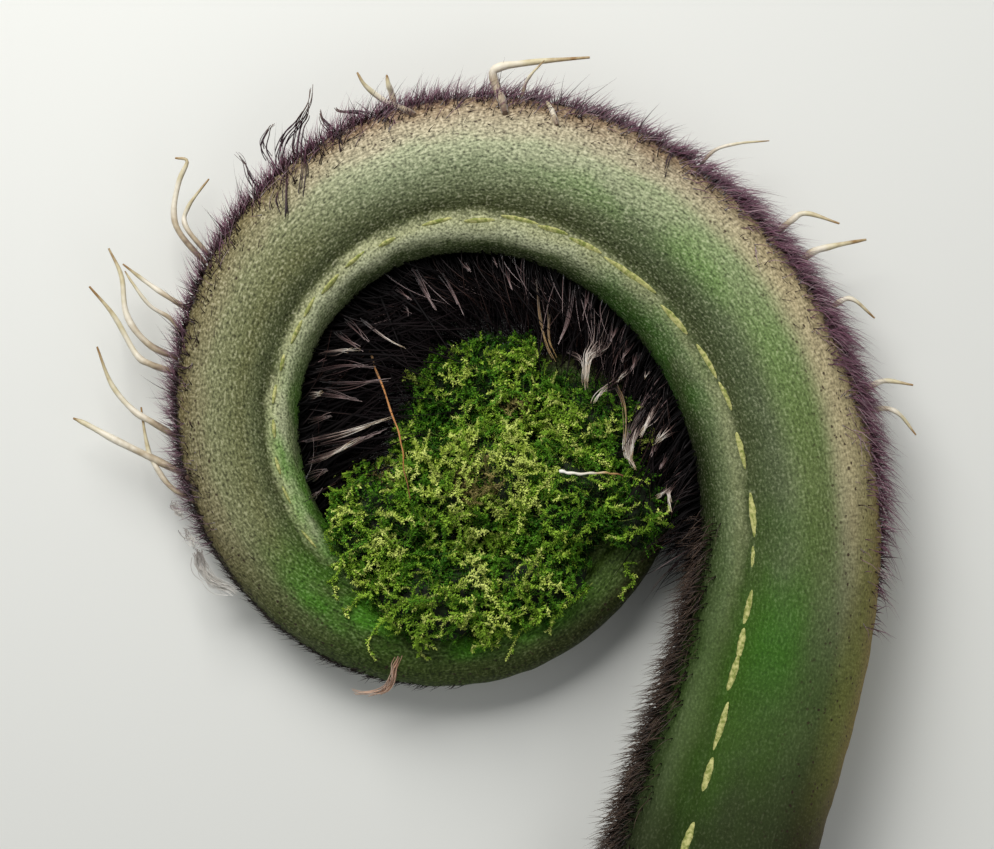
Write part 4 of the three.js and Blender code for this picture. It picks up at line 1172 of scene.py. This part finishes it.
# Single shoots stand out on top of the rest or creep down over the inner turn's skin. Each is given
# by its points seen from above.
CREEPING = {
    "fresh": [
        [(-8, -9.4), (-11, -11), (-14, -13.2), (-15.5, -15.8), (-14.9, -18)],
        [(-7.5, -12.5), (-9.2, -15), (-7.2, -16.6)], [(-9, -13), (-9.6, -16), (-8.4, -18.2)],
        [(12.2, -8.6), (9.6, -10.8), (5.2, -13), (2.8, -15.4), (1.7, -18)],
        [(9, -10.5), (6.6, -14.6)], [(6.5, -11), (4.8, -13.6)],
        [(-1.6, -12.6), (-0.8, -15.8), (0.4, -16.4)], [(-3.8, -11.8), (-5.2, -12.6)],
        [(1.2, -10.2), (2.0, -13)], [(-18.5, -5), (-20, -8.4), (-19.4, -10.6)],
        [(-15, -9), (-17.8, -11.4), (-18.6, -12.4)], [(15.8, -6), (17.5, -8.2), (15.6, -10.4)],
        [(10.9, 4.8), (14.3, 3.9), (17.0, 4.8), (19.3, 3.8)], [(6.7, 12.6), (9.3, 12.2), (11.7, 12.3)],
        [(9.3, 7.6), (12.0, 7.6), (14.3, 6.2)], [(0.5, 9.6), (1.9, 8.2), (3.3, 6.6)],
        [(4.9, 6.8), (5.9, 5.2), (7.9, 4.8), (9.9, 4.4)], [(3.5, 1.2), (4.5, 3.2), (3.9, 4.2)],
        [(-14.2, -11.9), (-11.8, -10.9), (-8.5, -10.3), (-6.8, -9.6)],
        [(-14.2, -7.6), (-12.5, -5.9), (-10.8, -4.2)], [(-20.8, -6.2), (-18.2, -6.6), (-16.5, -7.2)],
        [(7.9, -5.2), (9.3, -4.6)], [(-20.6, 4.2), (-18.8, 4.8), (-17.5, 4.2), (-18.2, 2.2)],
        [(17.3, -2.6), (20.3, -0.8), (22.7, -1.8)], [(-0.1, 16.2), (1.5, 16.6)],
        [(5.9, -12.6), (3.9, -10.7), (2.7, -8.8)], [(-8.0, 1.2), (-5.5, -0.7), (-3.0, 0.3)],
        [(-17.3, -0.7), (-15.2, -2.2), (-13.0, -1.7)], [(-11.7, -3.2), (-14.2, -4.7), (-16.0, -6.4)],
        [(5.8, -0.7), (7.8, -2.2), (9.5, -1.7)], [(13.3, 1.8), (15.5, 0.8), (17.8, 1.3)],
    ],
    "bright": [
        [(-6.8, 8.2), (-5.5, 6.6), (-3.8, 7.6)], [(-3.5, 10.2), (-2.1, 9.8)],
        [(-3.5, -4.2), (-2.7, -5.6), (-1.5, -5.2)], [(14.0, 9.6), (14.3, 11.2), (14.7, 12.2)],
        [(-2.7, -8.6), (-1.1, -8.9), (-0.1, -10.6), (1.9, -12.6)],
        [(-3.7, -2.9), (-2.1, -1.9), (-1.1, -2.2)], [(-11.5, 17.6), (-9.8, 16.9)],
        [(-6.1, 17.2), (-5.1, 17.1)], [(0.8, 7.4), (2.3, 5.6), (4.3, 5.1)],
        [(-1.1, 8.7), (-2.0, 6.8), (-3.0, 5.6)],
    ],
}
CREEP_LIFT = (0.3, 0.8)
CREEP_WAVE = 0.16


def top_below(points):
    """The height of the stalk's or the moss's top at each point, seen from above."""
    out, _, half, level = stalk_frame(np.column_stack([points, np.zeros(len(points))]))
    top = level + np.interp(out / half, rise_across, rise_high, right=0) * half
    for middle, size in cushions:
        level = 1 - (((points - middle[:2]) / size[:2]) ** 2).sum(axis=1)
        dome = middle[2] + size[2] * np.sqrt(np.maximum(level, 0))
        top = np.where(level > 0, np.maximum(top, dome), top)
    return top


for shade_name, rows in CREEPING.items():
    for corners in rows:
        flat = rounded_line(corners, SHOOT_POINTS)
        flat += CREEP_WAVE * np.sin(np.linspace(0, 14, SHOOT_POINTS)[:, None] + chance.uniform(0, 6, 2))
        main = np.column_stack([flat, top_below(flat) + chance.uniform(*CREEP_LIFT)])
        shoots.append((feather(main, MOSS_LAYERS[1][4]), main[-1], MOSS_LAYERS[1], 0, shade_name))

# The lightness of each shoot is partly painted light and shade: brighter the higher its tip stands
# and in the lit spots, deep green in the shaded ones, and partly at random. Here and there old
# shoots have died and faded to brown. The spots have a width, and a gain, negative where shaded.
LIT_AND_SHADED_SPOTS = [
    (1.7, 5.6, 4, 1.2), (-3, -9, 6, -0.35), (-11, -11, 5, -0.3), (9, 13, 4.5, 0.4),
    (-8.4, 14, 4.4, -1.0), (15, 1, 6, -1.3), (13, -8, 7, -1.0), (0, 20, 7, -0.6), (5, -3, 3, -0.6),
    (-8, -5, 3, -0.6), (-3, 3, 3.4, 0.7),
]
CLUMP_LIGHT = 0.45
CLUMP_SIZE = 0.75
LIGHT_SPREAD = 0.45
DEAD_SPOTS = [(-2.3, 4.9, 2.4), (-14.2, 4.3, 1.8), (3.4, 13.5, 1.8)]
DEAD_CHANCE = 0.55
MOSS_GREENS = [
    ("shaded", "#102408", "#1e3b0c", 0.3), ("deep", "#254a0e", "#386817", 0.28),
    ("green", "#47761a", "#629427", 0.25), ("fresh", "#72982a", "#97b93c", 0.13),
    ("bright", "#a8bf45", "#d9e27e", 0.04), ("dead", "#5c5230", "#a2955a", 0),
]
DEAD = len(MOSS_GREENS) - 1
TIP_SHARE = 0.75
YOUNG_BRANCHES = 0.3
shade_names, _, _, shade_shares = zip(*MOSS_GREENS)
_, tips, _, lights, given_shades = zip(*shoots)
tips = np.array(tips)
lightness = (tips[:, 2] - 9) / 7 + np.array(lights)
for x, y, wide, gain in LIT_AND_SHADED_SPOTS:
    lightness += gain * np.exp(-(np.hypot(tips[:, 0] - x, tips[:, 1] - y) / wide) ** 2)
lightness += CLUMP_LIGHT * (np.sin(tips[:, 0] / CLUMP_SIZE + 1.5 * np.sin(tips[:, 1]))
                            + np.sin(tips[:, 1] / CLUMP_SIZE + 1.5 * np.sin(tips[:, 0] + 1)))
lightness += chance.normal(0, LIGHT_SPREAD, len(tips))
rank = np.argsort(np.argsort(lightness)) / len(lightness)
steps_up = np.cumsum(shade_shares[:DEAD])
shades_of = np.searchsorted(steps_up[:-1], rank, side="right")
for i, shade_name in enumerate(given_shades):
    if shade_name:
        shades_of[i] = shade_names.index(shade_name)
    elif in_spots(tips[i], DEAD_SPOTS) and chance.uniform() < DEAD_CHANCE:
        shades_of[i] = DEAD

LEAF_WIDTH = 0.6
LEAF_TURN = 2.4
LEAF_LEAN = (0.7, 1.7)
FIRST_LEAF = 0.04
STEM_HALVES = (0.09, 0.05)
LEAF_OUTLINE = [(0, 0, 0), (-0.5, 0.45, 0.18), (0, 1, 0.06), (0.5, 0.45, 0.18)]
leaf_shape = place_object("leaf_shape", new_mesh(
    "leaf_shape", [tuple(c / MM for c in p) for p in LEAF_OUTLINE], faces=[(0, 2, 1), (0, 3, 2)]))
heaps = [[] for _ in MOSS_GREENS]
stems = []
for (lines, _, layer, _, _), shade_of in zip(shoots, shades_of):
    leaf_lengths, spacing = layer[5:7]
    for k, one in enumerate(lines):
        run = np.concatenate([[0], np.cumsum(np.linalg.norm(np.diff(one, axis=0), axis=1))])
        count = max(3, int(run[-1] / spacing))
        at = np.linspace(FIRST_LEAF * run[-1], run[-1], count)
        points = np.column_stack([np.interp(at, run, one[:, i]) for i in range(3)])
        way = unit(np.gradient(points, axis=0))
        spin = np.arange(count) * LEAF_TURN + chance.uniform(0, 6)
        first = unit(np.cross(way, UP + 0.01))
        aside = turned(spin, first, np.cross(way, first))
        leaf_way = unit(way + aside * chance.uniform(*LEAF_LEAN, (count, 1)))
        long = chance.uniform(*leaf_lengths, (count, 1)) * np.linspace(1, 0.7, count)[:, None]
        facing = unit(np.cross(np.cross(leaf_way, way), leaf_way))
        young = at / run[-1] > TIP_SHARE if k == 0 else np.full(count, chance.uniform() < YOUNG_BRANCHES)
        lighter = shade_of if shade_of == DEAD else min(shade_of + 1, DEAD - 1)
        for level, chosen in ((shade_of, ~young), (lighter, young)):
            heaps[level].append([part[chosen] for part in (
                points, facing, leaf_way, long * (LEAF_WIDTH, 1, 1))])
        if k == 0:
            stems.append((one[::2], np.linspace(*STEM_HALVES, len(one[::2]))))
for (name, dark, light, _), heap in zip(MOSS_GREENS, heaps):
    moss_leaf = mottled_material(f"{name}_moss_leaf", dark, light, 1.5, Roughness=0.6, IOR=1.42,
                                 Specular_IOR_Level=0.15)
    strew(f"moss_leaves_{name}", "moss", leaf_shape, moss_leaf,
          *(np.concatenate(part) for part in zip(*heap)), smooth=False)
discard(leaf_shape)
moss_stem = mottled_material("moss_stem", "#3c4714", "#6c7a2a", 0.6, Roughness=0.7)
sweep_strands("moss_stems", "moss", three_sided, moss_stem, stems)

# Small things that lie on the moss: a bleached straw with a brown end, and a rust-brown hair that
# reaches from the hollow's dark hair down onto the moss. Each is its half width, points and colours.
SMALL_THINGS = {
    "bleached_straw": (
        0.21, [(8.1, 5.5, 15.2), (10.4, 5.2, 15.4), (13.6, 5.3, 14.6), (16, 5, 13.8)],
        ("#f6f3ea", "#f1ead8", "#c9a56a", "#8a5a34")),
    "rust_hair": (
        0.15, [(-15.6, 20.5, 8), (-14.4, 17.4, 10.5), (-12.3, 11.8, 12.8), (-11.3, 8.6, 14.5),
               (-11, 5.6, 15.2), (-10.2, 2.2, 15.6)],
        ("#7d5e3a", "#c98747", "#a4692a", "#694214")),
}
SMALL_POINTS = 30
SMALL_WAVE = 0.05
SMALL_TIP = 0.45
SMALL_KNOTS = 0.15
for name, (half, corners, colours) in SMALL_THINGS.items():
    path = rounded_line(corners, SMALL_POINTS)
    path += SMALL_WAVE * np.sin(np.linspace(0, 30, SMALL_POINTS))[:, None]
    widths = (half * np.linspace(1, SMALL_TIP, SMALL_POINTS)
              * (1 + SMALL_KNOTS * np.sin(np.linspace(0, 40, SMALL_POINTS))))
    material = strand_material(name, *colours, roughness=0.6, sheen=0.2)
    sweep_strands(name, "moss", six_sided, material, [(path, widths)])

# A rootlet of the moss comes out under it and bends over the stalk's edge. It is a rope of pale fuzz.
ROOTLET = [(-11.7, -17.3, 13.2), (-12.3, -19.3, 12.6), (-12.9, -21.1, 11), (-14.1, -22.2, 9),
           (-16.9, -22.6, 8), (-19.3, -22, 7.6)]
ROOTLET_HAIRS = 44
ROOTLET_TURNS = (10, 24)
ROOTLET_LOOSE, ROOTLET_WAVE = 0.16, 0.14
ROOTLET_HALVES = (0.07, 0.04)
strands = []
for _ in range(ROOTLET_HAIRS):
    turns = np.linspace(0, chance.uniform(*ROOTLET_TURNS), SMALL_POINTS)[:, None] + chance.uniform(0, 6, 3)
    whole = (rounded_line(ROOTLET, SMALL_POINTS) + chance.normal(0, ROOTLET_LOOSE, 3)
             + ROOTLET_WAVE * np.sin(turns))
    begin = chance.integers(0, SMALL_POINTS // 2)
    kept = whole[begin:begin + chance.integers(SMALL_POINTS // 4, SMALL_POINTS // 2 + 1)]
    strands.append((kept, np.linspace(*ROOTLET_HALVES, len(kept))))
fuzz = strand_material("pale_rootlet", "#8f6a50", "#c79a7c", "#dcb79c", "#c9a78e", roughness=0.7,
                       sheen=0.3)
sweep_strands("pale_rootlet", "moss", three_sided, fuzz, strands)
discard(three_sided, six_sided)

size = {"cad": [list(c) for c in cad_box], "visual": [list(c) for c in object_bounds()]}
